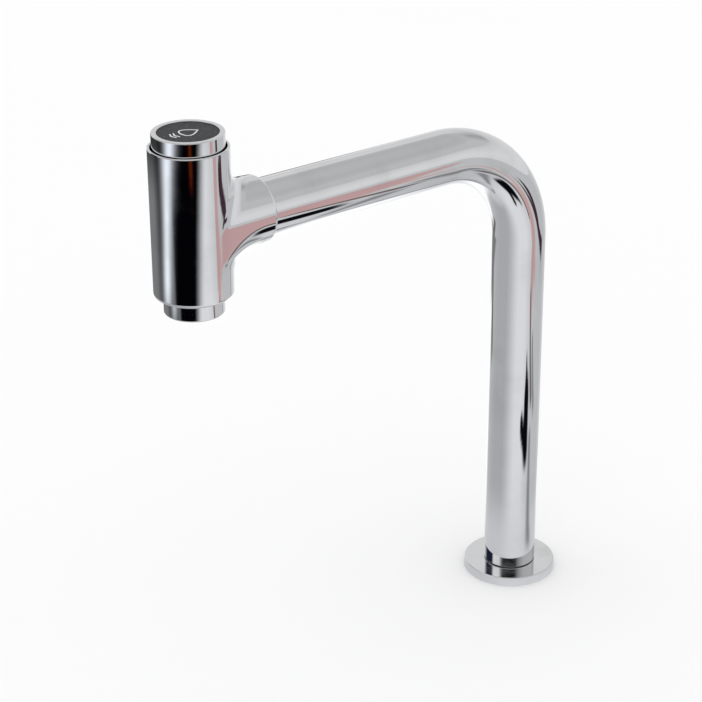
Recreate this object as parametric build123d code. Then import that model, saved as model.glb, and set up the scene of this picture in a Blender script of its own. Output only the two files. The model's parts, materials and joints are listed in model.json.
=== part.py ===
from build123d import *
import math
import os

# Self-closing push-button pillar tap with a tall swivel spout, in millimetres.
# +Z is up and the deck is at z = 0. The riser stands on the Z axis and the arm runs towards -Y.

# Base thread, swivel spigot and collar
shank_thread_radius = 10.48
shank_wall = 4.0
shank_end_bevel = 0.8
shank_tail = 25.0
tail_groove_height = 2.0
tail_groove_depth = 1.2
collar_overlap = 1.6
collar_height = 4.0
collar_step = 3.2
spigot_wall = 3.0
spigot_lead = 1.0
stop_pin_radius = 1.2
stop_pin_stand = 3.0
swivel_half_angle = 60.0

# Water seals and split ring on the spigot
seal_depth = 1.5
seal_inset = 7.5
seal_pitch = 5.0
split_ring_height = 2.0
split_ring_depth = 0.7
split_ring_opening = 24.0

# Spout tube and the bush in its foot
tube_wall = 1.5
arm_height = 254.0
reach = 203.0
bend_radius = 55.0
glide_ring_thickness = 0.45
bush_height = 24.5
bush_lead = 0.6

# Base flange and its gasket
flange_overhang = 11.2
flange_draft = 0.4
flange_thickness = 5.0
flange_edge_bevel = 0.4
gasket_edge = 3.2
gasket_inset = 2.4
gasket_thickness = 1.5

# Hardware under the deck
deck_thickness = 20.0
deck_washer_band = 10.4
rubber_washer_thickness = 3.0
metal_washer_thickness = 2.0
nut_wall = 4.52
nut_height = 8.0
nut_bevel = 0.8
strainer_depth = 9.0
strainer_wall = 0.8
strainer_rim = 2.1
strainer_hole_radius = 0.6

# Head casting and its side boss
boss_wall = 2.6
head_shoulder = 2.4
head_wall = 4.0
rim_wall = 1.2
rim_bevel = 0.3
well_depth = 15.0
outlet_depth = 9.0
head_bottom_round = 2.0
boss_root_inset = 0.3
boss_stand = 19.0
boss_end_round = 2.3
boss_blend = 12.0
tube_socket_depth = 10.0

# Union between the tube and the head
union_neck_radius = 9.0
union_wall = 2.5
union_inset = 3.5
union_in_tube = 18.0

# Valve cartridge
inlet_channel = 2.0
cartridge_wall = 2.5
seat_ledge = 1.0
seat_band = 3.5
seat_height = 2.5
seat_lip = 1.1
seat_skirt = 2.5
web_thickness = 2.0
window_count = 6
window_width = 6.0
piston_height = 6.0
timing_gap = 1.0
cap_thickness = 3.0
guide_neck_radius = 7.5
guide_neck_height = 6.5
stem_seal_section = 0.9
nut_thread_height = 8.0
nut_collar_height = 4.5
nut_side_gap = 1.9
nut_slot_count = 4
nut_slot_width = 3.0

# Push button and what it drives
button_travel = 6.0
button_rest_stand = 1.0
button_gap = 0.8
button_wall = 1.5
button_rim = 2.6
button_edge_round = 0.5
button_plate = 2.0
button_hub_radius = 5.0
disc_thickness = 1.4
disc_recess = 0.5
stem_radius = 3.0
stem_low_radius = 2.5
stem_end_radius = 2.0
valve_side_gap = 1.3
washer_thickness = 3.0
retainer_width = 7.0
retainer_height = 1.5
piston_side_gap = 0.2
lip_seal_height = 2.6
lip_seal_depth = 2.0
lip_seal_cup = 1.0
bleed_jet_radius = 1.2
bleed_jet_bore = 0.3

# Return spring
spring_wire_radius = 0.65
spring_turns = 5
spring_slack = 3.0

# Outlet nozzle and aerator
outlet_wall = 5.6
nozzle_shoulder = 1.1
nozzle_proud = 8.5
nozzle_edge_round = 0.7
nozzle_seam = 0.5
nozzle_wall = 1.4
aerator_lip = 1.0
aerator_lip_height = 1.2
aerator_wall = 0.75
aerator_recess = 1.6
aerator_plate = 1.5
aerator_pitch = 3.0
aerator_hole_radius = 0.8
screen_thickness = 0.6
screen_pitch = 2.4
outlet_gasket_height = 2.0

# Clearances
running_fit = 0.05
assembly_fit = 0.05
thread_relief = 0.12
rest_gap = 0.05
end_gap = 0.5
stop_gap = 0.3

# Radii that follow, from the thread outwards to the tube and the flange
flange_bore = shank_thread_radius + thread_relief
shank_bore = shank_thread_radius - shank_wall
collar_radius = flange_bore + collar_overlap
tube_bore = collar_radius + stop_gap
tube_radius = tube_bore + tube_wall
flange_radius = tube_radius + flange_overhang
flange_top_radius = flange_radius - flange_draft
gasket_outer = flange_radius - gasket_edge
gasket_inner = flange_bore + gasket_inset
spigot_radius = collar_radius - collar_step
spigot_bore = spigot_radius - spigot_wall
seal_floor = spigot_radius - seal_depth
bush_bore = spigot_radius + running_fit
bush_radius = tube_bore - assembly_fit
stop_pin_place = (spigot_radius + collar_radius) / 2
deck_washer_radius = flange_bore + deck_washer_band
nut_width = 2 * (shank_thread_radius + nut_wall)
strainer_radius = shank_bore - assembly_fit
strainer_rim_radius = strainer_radius + strainer_rim

# Radii that follow, from the tube to the head and inwards to the stem
boss_end_radius = tube_radius + boss_wall
head_radius = boss_end_radius + head_shoulder
boss_root_radius = head_radius - boss_root_inset
chamber_radius = head_radius - head_wall
well_radius = head_radius - rim_wall
button_radius = well_radius - button_gap
button_bore = button_radius - button_wall
disc_radius = button_radius - button_rim
nut_collar_radius = button_bore - nut_side_gap
nut_bore = guide_neck_radius + end_gap
cartridge_radius = chamber_radius - inlet_channel
cartridge_flange_radius = chamber_radius - assembly_fit
piston_bore = cartridge_radius - cartridge_wall
piston_radius = piston_bore - piston_side_gap
lip_seal_inner = piston_radius - lip_seal_depth
seat_outer = piston_bore - seat_ledge
seat_bore = seat_outer - seat_band
web_opening = seat_bore + end_gap
cartridge_foot_radius = seat_outer + cartridge_wall
foot_seal_floor = cartridge_foot_radius - seal_depth
flange_seal_floor = cartridge_flange_radius - seal_depth
valve_passage = seat_outer + end_gap
washer_radius = seat_outer - valve_side_gap
stem_guide = stem_radius + running_fit
bleed_jet_place = (stem_radius + lip_seal_inner) / 2
spring_radius = (web_opening + piston_bore) / 2
nozzle_neck_radius = head_radius - outlet_wall
nozzle_radius = nozzle_neck_radius + nozzle_shoulder
aerator_radius = nozzle_neck_radius - nozzle_wall
union_bore = union_neck_radius - union_wall
union_seal_floor = union_neck_radius - seal_depth

# Heights that follow, at the base
tube_foot = flange_thickness + glide_ring_thickness + rest_gap
collar_top = flange_thickness + collar_height
stop_pin_top = collar_top + stop_pin_stand
bush_low = collar_top + stop_gap
bush_top = bush_low + bush_height
seal_low_z = bush_low + seal_inset
seal_high_z = seal_low_z + seal_pitch
split_ring_z = seal_high_z + seal_pitch
spigot_top = bush_top + end_gap
metal_washer_top = -deck_thickness - rubber_washer_thickness
lock_nut_top = metal_washer_top - metal_washer_thickness
lock_nut_low = lock_nut_top - nut_height
shank_low = lock_nut_low - shank_tail

# Heights that follow, down from the arm to the outlet
head_y = -reach
web_top = arm_height - union_neck_radius
chamber_low = web_top - end_gap
web_low = web_top - web_thickness
seat_face = web_low - seat_height
cartridge_low = seat_face - seat_skirt
foot_seal_z = (cartridge_low + chamber_low) / 2
washer_top = seat_face - rest_gap
washer_low = washer_top - washer_thickness
retainer_low = washer_low - retainer_height
stem_low = retainer_low - end_gap
outlet_ledge = stem_low - button_travel
head_low = outlet_ledge - outlet_depth
nozzle_low = head_low - nozzle_proud
aerator_low = nozzle_low + aerator_lip_height
aerator_top = outlet_ledge - outlet_gasket_height - screen_thickness

# Heights that follow, up from the arm to the button
spring_length = 2 * spring_turns * spring_wire_radius + button_travel + spring_slack
piston_low = web_top + spring_length
piston_top = piston_low + piston_height
window_low = web_top + end_gap
window_top = piston_low - button_travel - end_gap
lip_seal_low = (piston_low + piston_top - lip_seal_height) / 2
cap_low = piston_top + timing_gap
cap_top = cap_low + cap_thickness
cartridge_flange_low = arm_height + union_neck_radius + 2 * end_gap
flange_seal_z = (cartridge_flange_low + cap_top) / 2
guide_neck_top = cap_top + guide_neck_height
stem_seal_z = (cap_top + guide_neck_top) / 2
well_floor = cap_top + nut_thread_height
nut_collar_top = well_floor + nut_collar_height
head_top = well_floor + well_depth
button_top = head_top + button_travel + button_rest_stand
skirt_low = well_floor + button_travel + 4 * end_gap
hub_low = guide_neck_top + button_travel + 2 * end_gap
disc_top = button_top - disc_recess
disc_low = disc_top - disc_thickness
plate_low = disc_low - button_plate
stem_top = plate_low + end_gap

# Places along the arm, from the head's axis towards the riser
boss_length = head_radius + boss_stand
socket_floor = boss_length - tube_socket_depth
union_start = chamber_radius + union_inset
union_end = socket_floor + union_in_tube
union_seal_place = union_start + union_inset

arm_axis = Plane(origin=(0, head_y, arm_height), x_dir=(1, 0, 0), z_dir=(0, 1, 0))
head_axis = Pos(0, head_y, 0)


def disc(radius, low, high):
    """A round bar on the Z axis from low to high."""
    return Pos(0, 0, low) * Cylinder(radius, high - low, align=(Align.CENTER, Align.CENTER, Align.MIN))


def ring(outer, inner, low, high):
    """A round bar with a round hole."""
    return disc(outer, low, high) - disc(inner, low, high)


def turned(*profile):
    """A solid turned about the Z axis from a closed outline of (radius, height) points."""
    outline = make_face(Plane.XZ * Polyline(*profile, close=True))
    return revolve(outline, Axis.Z)


def ring_edges(solid, radius, height):
    """The round edges of a solid at one radius and height."""
    found = []
    for edge in solid.edges().filter_by(GeomType.CIRCLE):
        place = edge.arc_center
        if abs(edge.radius - radius) < 0.01 and abs(place.Z - height) < 0.01:
            found.append(edge)
    return found


def seal(floor, bore, height):
    """A round seal that lies between a groove floor and the bore round it."""
    section = (bore - floor) / 2 - assembly_fit
    return Pos(0, 0, height) * Torus((bore + floor) / 2, section)


def seal_groove(floor, bore, height):
    """The square groove that the same seal lies in, as a ring to cut away."""
    half = (bore - floor) / 2 + assembly_fit
    return ring(bore + end_gap, floor, height - half, height + half)


def hexagon(width, low, high):
    """A hexagonal bar, measured across its flats."""
    outline = RegularPolygon(width / math.sqrt(3), 6)
    return Pos(0, 0, low) * extrude(outline, amount=high - low)


def around(count, shape):
    """Copies of a shape turned evenly about the Z axis."""
    return [Rot(0, 0, 360 * index / count) * shape for index in range(count)]


def hole_field(field_radius, pitch, hole_radius, low, high):
    """Round holes on rings about the Z axis, as tools to cut away."""
    tools = [disc(hole_radius, low, high)]
    for circle in range(1, int(field_radius / pitch) + 1):
        count = 6 * circle
        tools += around(count, Pos(circle * pitch, 0, 0) * disc(hole_radius, low, high))
    return tools


def base_flange():
    """The round foot plate, drafted and bevelled, hollow below for its gasket."""
    bevel = flange_edge_bevel
    body = turned(
        (flange_bore, 0), (flange_radius, 0), (flange_top_radius, flange_thickness - bevel),
        (flange_top_radius - bevel, flange_thickness), (flange_bore, flange_thickness),
    )
    recess = ring(gasket_outer + assembly_fit, gasket_inner - assembly_fit, 0, gasket_thickness)
    return body - recess


def flange_gasket():
    """The flat rubber ring in the flange's underside."""
    return ring(gasket_outer, gasket_inner, 0, gasket_thickness)


def shank_spigot():
    """One turned piece: thread below the deck, collar on the flange, spigot inside the tube."""
    body = turned(
        (shank_bore, shank_low), (shank_thread_radius - shank_end_bevel, shank_low),
        (shank_thread_radius, shank_low + shank_end_bevel), (shank_thread_radius, flange_thickness),
        (collar_radius, flange_thickness), (collar_radius, collar_top),
        (spigot_radius, collar_top), (spigot_radius, spigot_top - spigot_lead),
        (spigot_radius - spigot_lead, spigot_top), (spigot_bore, spigot_top),
        (spigot_bore, flange_thickness), (shank_bore, 0),
    )
    body -= seal_groove(seal_floor, spigot_radius, seal_low_z)
    body -= seal_groove(seal_floor, spigot_radius, seal_high_z)
    half = split_ring_height / 2 + assembly_fit
    body -= ring(spigot_radius + end_gap, spigot_radius - split_ring_depth - assembly_fit,
                 split_ring_z - half, split_ring_z + half)
    body -= ring(shank_thread_radius + end_gap, shank_thread_radius - tail_groove_depth,
                 lock_nut_low - 2 * tail_groove_height, lock_nut_low - tail_groove_height)
    body -= disc(strainer_rim_radius + assembly_fit, shank_low, shank_low + strainer_wall)
    return body - stop_pin(assembly_fit)


def stop_pin(margin=0.0):
    """The dowel behind the spigot that limits the swivel."""
    low = flange_thickness + stop_gap
    return Pos(0, stop_pin_place, 0) * disc(stop_pin_radius + margin, low - margin, stop_pin_top)


def spigot_seals():
    """The two water seals on the spigot."""
    return [seal(seal_floor, spigot_radius, height) for height in (seal_low_z, seal_high_z)]


def split_ring():
    """The open ring that keeps the spout from lifting off the spigot."""
    half = split_ring_height / 2
    body = ring(spigot_radius + split_ring_depth, spigot_radius - split_ring_depth,
                split_ring_z - half, split_ring_z + half)
    spread = 2 * (spigot_radius + split_ring_depth)
    width = 2 * spigot_radius * math.sin(math.radians(split_ring_opening / 2))
    return body - Pos(0, -spread / 2, split_ring_z) * Box(width, spread, 2 * split_ring_height)


def glide_ring():
    """The thin dark ring that the foot of the tube turns on."""
    return ring(tube_radius - assembly_fit, collar_radius + assembly_fit,
                flange_thickness, flange_thickness + glide_ring_thickness)


def rubber_washer():
    """The rubber washer under the deck."""
    return ring(deck_washer_radius, flange_bore, metal_washer_top, -deck_thickness)


def metal_washer():
    """The steel washer under the rubber one."""
    return ring(deck_washer_radius, flange_bore, lock_nut_top, metal_washer_top)


def lock_nut():
    """The hexagonal nut that clamps the tap to the deck."""
    corner = nut_width / math.sqrt(3)
    cone = turned(
        (0, lock_nut_low), (corner - nut_bevel, lock_nut_low),
        (corner + nut_bevel, lock_nut_low + 2 * nut_bevel), (corner + nut_bevel, lock_nut_top),
        (0, lock_nut_top),
    )
    body = hexagon(nut_width, lock_nut_low, lock_nut_top) & cone
    return body - disc(flange_bore, lock_nut_low, lock_nut_top)


def inlet_strainer():
    """The cup-shaped strainer in the mouth of the shank."""
    bore = strainer_radius - strainer_wall
    top = shank_low + strainer_depth
    cup = turned(
        (bore, shank_low), (strainer_rim_radius, shank_low),
        (strainer_rim_radius, shank_low + strainer_wall), (strainer_radius, shank_low + strainer_wall),
        (strainer_radius, top), (0, top), (0, top - strainer_wall), (bore, top - strainer_wall),
    )
    field = bore - 2 * strainer_hole_radius
    pitch = 3 * strainer_hole_radius
    return cup - hole_field(field, pitch, strainer_hole_radius, top - 2 * strainer_wall, top + strainer_wall)


def spout_tube():
    """The bent tube: riser, quarter bend and level arm."""
    bend_start = (0, 0, arm_height - bend_radius)
    bend_end = (0, -bend_radius, arm_height)
    riser = Line((0, 0, tube_foot), bend_start)
    bend = TangentArc(bend_start, bend_end, tangent=(0, 0, 1))
    arm = Line(bend_end, (0, head_y + socket_floor, arm_height))
    section = Plane.XY.offset(tube_foot) * (Circle(tube_radius) - Circle(tube_bore))
    return sweep(section, path=Wire([riser, bend, arm]))


def foot_bush():
    """The bush brazed into the foot of the tube, which turns on the spigot."""
    body = turned(
        (bush_bore + bush_lead, bush_low), (bush_radius, bush_low), (bush_radius, bush_top),
        (bush_bore, bush_top), (bush_bore, bush_low + bush_lead),
    )
    half = split_ring_height / 2 + assembly_fit
    groove = spigot_radius + split_ring_depth + assembly_fit
    body -= ring(groove, bush_bore - end_gap, split_ring_z - half, split_ring_z + half)
    return body - stop_slot()


def stop_slot():
    """The curved slot in the bush that the stop pin runs in, as a tool to cut away."""
    outer = stop_pin_place + stop_pin_radius + running_fit
    ceiling = stop_pin_top + stop_gap
    half_angle = swivel_half_angle + math.degrees((stop_pin_radius + stop_gap / 2) / stop_pin_place)
    outline = make_face(Plane.XZ * Polyline(
        (bush_bore - end_gap, bush_low - end_gap), (outer, bush_low - end_gap),
        (outer, ceiling), (bush_bore - end_gap, ceiling), close=True))
    return Rot(0, 0, 90 - half_angle) * revolve(outline, Axis.Z, 2 * half_angle)


def head_body():
    """The head casting: a round pillar with a blended side boss, bored for tube and valve."""
    pillar = head_axis * disc(head_radius, head_low, head_top)
    boss = arm_axis * Cone(boss_root_radius, boss_end_radius, boss_length,
                           align=(Align.CENTER, Align.CENTER, Align.MIN))
    body = pillar + boss
    body = fillet(body.edges().filter_by(GeomType.BSPLINE), boss_blend)
    body = fillet(body.edges().filter_by(GeomType.CIRCLE).sort_by(Axis.Y)[-1], boss_end_round)
    body = chamfer(ring_edges(body, head_radius, head_top), rim_bevel)
    body = fillet(ring_edges(body, head_radius, head_low), head_bottom_round)
    body -= head_axis * disc(well_radius, well_floor, head_top)
    body -= head_axis * disc(chamber_radius, chamber_low, head_top)
    body -= head_axis * disc(cartridge_foot_radius, cartridge_low, chamber_low)
    body -= head_axis * disc(valve_passage, outlet_ledge, cartridge_low)
    body -= head_axis * disc(nozzle_neck_radius + assembly_fit, head_low, outlet_ledge)
    body -= arm_axis * disc(tube_radius + assembly_fit, socket_floor, boss_length)
    return body - arm_axis * disc(union_neck_radius + assembly_fit, 0, socket_floor)


def arm_union():
    """The union brazed in the tube and screwed into the boss."""
    body = turned(
        (union_bore, union_start), (union_neck_radius, union_start), (union_neck_radius, socket_floor),
        (bush_radius, socket_floor), (bush_radius, union_end), (union_bore, union_end),
    )
    return arm_axis * (body - seal_groove(union_seal_floor, union_neck_radius, union_seal_place))


def union_seal():
    """The seal between the union and the boss."""
    return arm_axis * seal(union_seal_floor, union_neck_radius, union_seal_place)


def cartridge_housing():
    """The valve sleeve: foot, inlet windows, piston bore, flange and guide neck."""
    foot = cartridge_foot_radius - assembly_fit
    body = turned(
        (seat_outer, cartridge_low), (foot, cartridge_low), (foot, chamber_low),
        (cartridge_radius, chamber_low), (cartridge_radius, cartridge_flange_low),
        (cartridge_flange_radius, cartridge_flange_low), (cartridge_flange_radius, cap_top),
        (guide_neck_radius, cap_top), (guide_neck_radius, guide_neck_top),
        (stem_guide, guide_neck_top), (stem_guide, cap_low), (piston_bore, cap_low),
        (piston_bore, web_top), (web_opening, web_top), (web_opening, web_low), (seat_outer, web_low),
    )
    body -= seal_groove(foot_seal_floor, foot, foot_seal_z)
    body -= seal_groove(flange_seal_floor, cartridge_flange_radius, flange_seal_z)
    body -= ring(stem_guide + 2 * stem_seal_section, stem_radius,
                 stem_seal_z - stem_seal_section, stem_seal_z + stem_seal_section)
    window = Pos(cartridge_radius, 0, (window_top + window_low) / 2) * Box(
        2 * cartridge_wall + end_gap, window_width, window_top - window_low)
    return head_axis * (body - around(window_count, window))


def cartridge_seals():
    """The two seals round the cartridge, at its foot and its flange."""
    foot = seal(foot_seal_floor, cartridge_foot_radius - assembly_fit, foot_seal_z)
    flange = seal(flange_seal_floor, cartridge_flange_radius, flange_seal_z)
    return [head_axis * foot, head_axis * flange]


def stem_seal():
    """The seal round the stem in the guide neck."""
    place = Pos(0, 0, stem_seal_z)
    return head_axis * place * Torus(stem_guide + stem_seal_section, stem_seal_section - assembly_fit)


def valve_seat():
    """The seat ring pressed into the cartridge's foot, with a raised lip."""
    lip = seat_bore + seat_lip
    outer = seat_outer - assembly_fit
    return head_axis * turned(
        (seat_bore, seat_face), (lip, seat_face), (lip + end_gap, seat_face + end_gap),
        (outer, seat_face + end_gap), (outer, web_low), (seat_bore, web_low),
    )


def cartridge_nut():
    """The slotted ring nut that holds the cartridge down."""
    thread = chamber_radius - assembly_fit
    body = turned(
        (nut_bore, cap_top), (thread, cap_top), (thread, well_floor), (nut_collar_radius, well_floor),
        (nut_collar_radius, nut_collar_top - end_gap), (nut_collar_radius - end_gap, nut_collar_top),
        (nut_bore, nut_collar_top),
    )
    slot = Pos(nut_collar_radius, 0, nut_collar_top) * Box(
        2 * nut_collar_radius, nut_slot_width, nut_collar_height)
    return head_axis * (body - around(nut_slot_count, slot))


def return_spring():
    """The coil spring under the piston, one open helix of round wire."""
    low = web_top + spring_wire_radius + rest_gap
    high = piston_low - spring_wire_radius - rest_gap
    path = Helix((high - low) / spring_turns, high - low, spring_radius, center=(0, head_y, low))
    start = Plane(origin=path @ 0, z_dir=path % 0)
    return sweep(start * Circle(spring_wire_radius), path=path)


def outlet_nozzle():
    """The chrome outlet ring with its threaded neck and a lip that holds the aerator."""
    bore = aerator_radius + assembly_fit
    lip = aerator_radius - aerator_lip
    shoulder = head_low - nozzle_seam
    body = turned(
        (lip, nozzle_low), (nozzle_radius, nozzle_low), (nozzle_radius, shoulder),
        (nozzle_neck_radius, shoulder), (nozzle_neck_radius, aerator_top),
        (bore, aerator_top), (bore, aerator_low), (lip, aerator_low),
    )
    return head_axis * fillet(ring_edges(body, nozzle_radius, nozzle_low), nozzle_edge_round)


def nozzle_gasket():
    """The thin ring between the nozzle's shoulder and the head."""
    return head_axis * ring(nozzle_radius - end_gap, nozzle_neck_radius + assembly_fit,
                            head_low - nozzle_seam, head_low)


def aerator_core():
    """The plastic insert: an upper and a lower perforated plate in one wall."""
    inner = aerator_radius - aerator_lip - aerator_wall
    plate_high = aerator_top - aerator_plate
    plate_foot = aerator_low + aerator_recess
    body = turned(
        (inner, aerator_low), (aerator_radius, aerator_low), (aerator_radius, aerator_top),
        (inner, aerator_top), (inner, plate_high), (0, plate_high),
        (0, plate_high - aerator_plate), (inner, plate_high - aerator_plate),
        (inner, plate_foot + aerator_plate), (0, plate_foot + aerator_plate),
        (0, plate_foot), (inner, plate_foot),
    )
    field = inner - aerator_hole_radius
    return head_axis * (body - hole_field(field, aerator_pitch, aerator_hole_radius, nozzle_low, aerator_top))


def aerator_screen():
    """The round filter screen on top of the aerator."""
    top = aerator_top + screen_thickness
    field = aerator_radius - aerator_lip - aerator_hole_radius
    holes = hole_field(field, screen_pitch, aerator_hole_radius, aerator_top, top)
    return head_axis * (disc(nozzle_neck_radius, aerator_top, top) - holes)


def outlet_gasket():
    """The rubber ring clamped between the aerator and the head."""
    low = aerator_top + screen_thickness
    return head_axis * ring(nozzle_neck_radius, valve_passage, low, outlet_ledge)


def button_cap():
    """The chrome push button: skirt, rounded rim, plate and hub."""
    recess = disc_radius + assembly_fit
    body = turned(
        (0, plate_low), (button_bore, plate_low), (button_bore, skirt_low), (button_radius, skirt_low),
        (button_radius, button_top), (recess, button_top), (recess, disc_low), (0, disc_low),
    )
    body = fillet(ring_edges(body, button_radius, button_top), button_edge_round)
    body += disc(button_hub_radius, hub_low, plate_low)
    return head_axis * (body - disc(stem_low_radius + assembly_fit, hub_low, stem_top))


def button_disc():
    """The dark insert in the button's top."""
    return head_axis * disc(disc_radius, disc_low, disc_top)


def push_stem():
    """The stepped stem from the button down to the valve washer."""
    return head_axis * turned(
        (0, stem_low), (stem_end_radius, stem_low), (stem_end_radius, washer_low),
        (stem_low_radius, washer_low), (stem_low_radius, piston_low), (stem_radius, piston_low),
        (stem_radius, hub_low), (stem_low_radius, hub_low), (stem_low_radius, stem_top), (0, stem_top),
    )


def piston():
    """The piston of the timing chamber, with a groove for its lip seal and a bore for its jet."""
    body = ring(piston_radius, stem_radius + assembly_fit, piston_low, piston_top)
    body -= ring(piston_bore, lip_seal_inner, lip_seal_low, lip_seal_low + lip_seal_height)
    jet_bore = disc(bleed_jet_radius + assembly_fit, piston_low, piston_top)
    return head_axis * (body - Pos(bleed_jet_place, 0, 0) * jet_bore)


def piston_lip_seal():
    """The cup seal of the piston, open upwards."""
    low = lip_seal_low + assembly_fit
    high = lip_seal_low + lip_seal_height - assembly_fit
    inner = lip_seal_inner + assembly_fit
    outer = piston_bore - running_fit
    middle = (inner + outer) / 2
    return head_axis * turned(
        (inner, low), (outer - piston_side_gap, low), (outer, high), (middle + lip_seal_cup / 2, high),
        (middle, high - lip_seal_cup), (middle - lip_seal_cup / 2, high), (inner, high),
    )


def bleed_jet():
    """The small drilled jet that times the closing."""
    jet = ring(bleed_jet_radius, bleed_jet_bore, piston_low, piston_top)
    return head_axis * Pos(bleed_jet_place, 0, 0) * jet


def valve_washer():
    """The rubber washer that closes on the seat from below."""
    return head_axis * ring(washer_radius, stem_low_radius + assembly_fit, washer_low, washer_top)


def washer_retainer():
    """The small hexagonal nut that holds the washer on the stem."""
    body = hexagon(retainer_width, retainer_low, washer_low)
    return head_axis * (body - disc(stem_end_radius + assembly_fit, retainer_low, washer_low))


NODES = {
    "base_flange": base_flange,
    "flange_gasket": flange_gasket,
    "shank_spigot": shank_spigot,
    "spigot_seals": spigot_seals,
    "swivel_stop_pin": stop_pin,
    "spigot_split_ring": split_ring,
    "glide_ring": glide_ring,
    "deck_rubber_washer": rubber_washer,
    "deck_metal_washer": metal_washer,
    "lock_nut": lock_nut,
    "inlet_strainer": inlet_strainer,
    "spout_tube": spout_tube,
    "foot_bush": foot_bush,
    "arm_union": arm_union,
    "union_seal": union_seal,
    "head_body": head_body,
    "cartridge_housing": cartridge_housing,
    "cartridge_seals": cartridge_seals,
    "stem_seal": stem_seal,
    "valve_seat": valve_seat,
    "cartridge_nut": cartridge_nut,
    "return_spring": return_spring,
    "outlet_nozzle": outlet_nozzle,
    "nozzle_gasket": nozzle_gasket,
    "aerator_core": aerator_core,
    "aerator_screen": aerator_screen,
    "outlet_gasket": outlet_gasket,
    "button_cap": button_cap,
    "button_disc": button_disc,
    "push_stem": push_stem,
    "piston": piston,
    "piston_lip_seal": piston_lip_seal,
    "bleed_jet": bleed_jet,
    "valve_washer": valve_washer,
    "washer_retainer": washer_retainer,
}


def main():
    """Write one file for each node."""
    os.makedirs("parts", exist_ok=True)
    for name, make in NODES.items():
        made = make()
        solids = made if isinstance(made, list) else [made]
        export_step(Compound(children=[Part(solid.wrapped) for solid in solids]), f"parts/{name}.step")


main()
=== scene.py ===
"""Looks of a self-closing push-button basin tap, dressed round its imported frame.

Lengths are in metres and +Z is up. The riser stands on the Z axis, and the arm runs towards -Y
to an upright head with a push button on its top.
"""

from __future__ import annotations

import json
import logging
import math
from dataclasses import dataclass, field
from enum import Enum
from typing import Callable

import bpy
import numpy as np
from mathutils import Matrix, Vector


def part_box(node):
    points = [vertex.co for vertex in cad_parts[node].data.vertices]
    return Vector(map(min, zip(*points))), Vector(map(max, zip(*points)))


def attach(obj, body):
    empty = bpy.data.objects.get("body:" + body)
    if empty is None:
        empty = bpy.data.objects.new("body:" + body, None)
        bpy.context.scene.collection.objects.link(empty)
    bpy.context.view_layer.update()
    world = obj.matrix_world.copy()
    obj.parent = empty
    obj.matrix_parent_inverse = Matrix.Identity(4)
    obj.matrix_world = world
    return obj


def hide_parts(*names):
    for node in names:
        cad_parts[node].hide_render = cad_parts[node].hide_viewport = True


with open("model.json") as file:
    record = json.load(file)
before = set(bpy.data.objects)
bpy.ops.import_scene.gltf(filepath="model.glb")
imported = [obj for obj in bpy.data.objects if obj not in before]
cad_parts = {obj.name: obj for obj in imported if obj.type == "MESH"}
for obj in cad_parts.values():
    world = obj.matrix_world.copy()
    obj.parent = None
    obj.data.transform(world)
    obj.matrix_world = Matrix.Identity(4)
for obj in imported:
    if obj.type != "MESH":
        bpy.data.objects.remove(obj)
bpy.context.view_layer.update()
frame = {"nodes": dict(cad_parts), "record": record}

Array = np.ndarray
Colour = tuple[float, float, float]
Surface = Callable[[Array, Array], Array]
Stretch = Callable[[Array], Array]

LOG = logging.getLogger("tap")
MM = 0.001
FULL_TURN = 2 * math.pi
COLUMNS = 192
WELD = 1e-7
SLOPE_STEP = 1e-4
POLE_INSET = 1e-5


class Body(Enum):
    """The moving bodies of the frame."""

    BASE = "base"
    SPOUT = "spout"
    BUTTON = "button"


class Slot(Enum):
    """The record's material slots."""

    CHROME = "chrome"
    INSERT = "dark_insert"
    BRASS = "brass"
    STEEL = "steel"
    RUBBER = "black_rubber"
    BLACK_PLASTIC = "black_plastic"
    WHITE_PLASTIC = "white_plastic"


# Shapes from formulas


def unit(vectors: Array) -> Array:
    """Vectors scaled to length one.

    Args:
        vectors: Any array whose last axis holds the coordinates.

    Returns:
        The same array with each vector divided by its length.
    """
    lengths = np.linalg.norm(vectors, axis=-1, keepdims=True)
    return vectors / np.maximum(lengths, 1e-15)


def arc_between(first: Array, last: Array, share: Array) -> Array:
    """Unit vectors on the great arc from first to last.

    The formula is (first * sin((1 - share) * w) + last * sin(share * w)) / sin(w), with w the angle
    between the two.

    Args:
        first: Unit vectors at share 0.
        last: Unit vectors at share 1.
        share: The place on the arc, with a last axis of length one.

    Returns:
        Unit vectors at each share.
    """
    angle = np.arccos(np.clip(np.sum(first * last, axis=-1, keepdims=True), -1, 1))
    return (first * np.sin((1 - share) * angle) + last * np.sin(share * angle)) / np.sin(angle)


@dataclass(frozen=True)
class Corner:
    """One corner of a turned outline: its radius from the axis, its height and the round on it."""

    radius: float
    height: float
    round: float = 0.0


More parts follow.
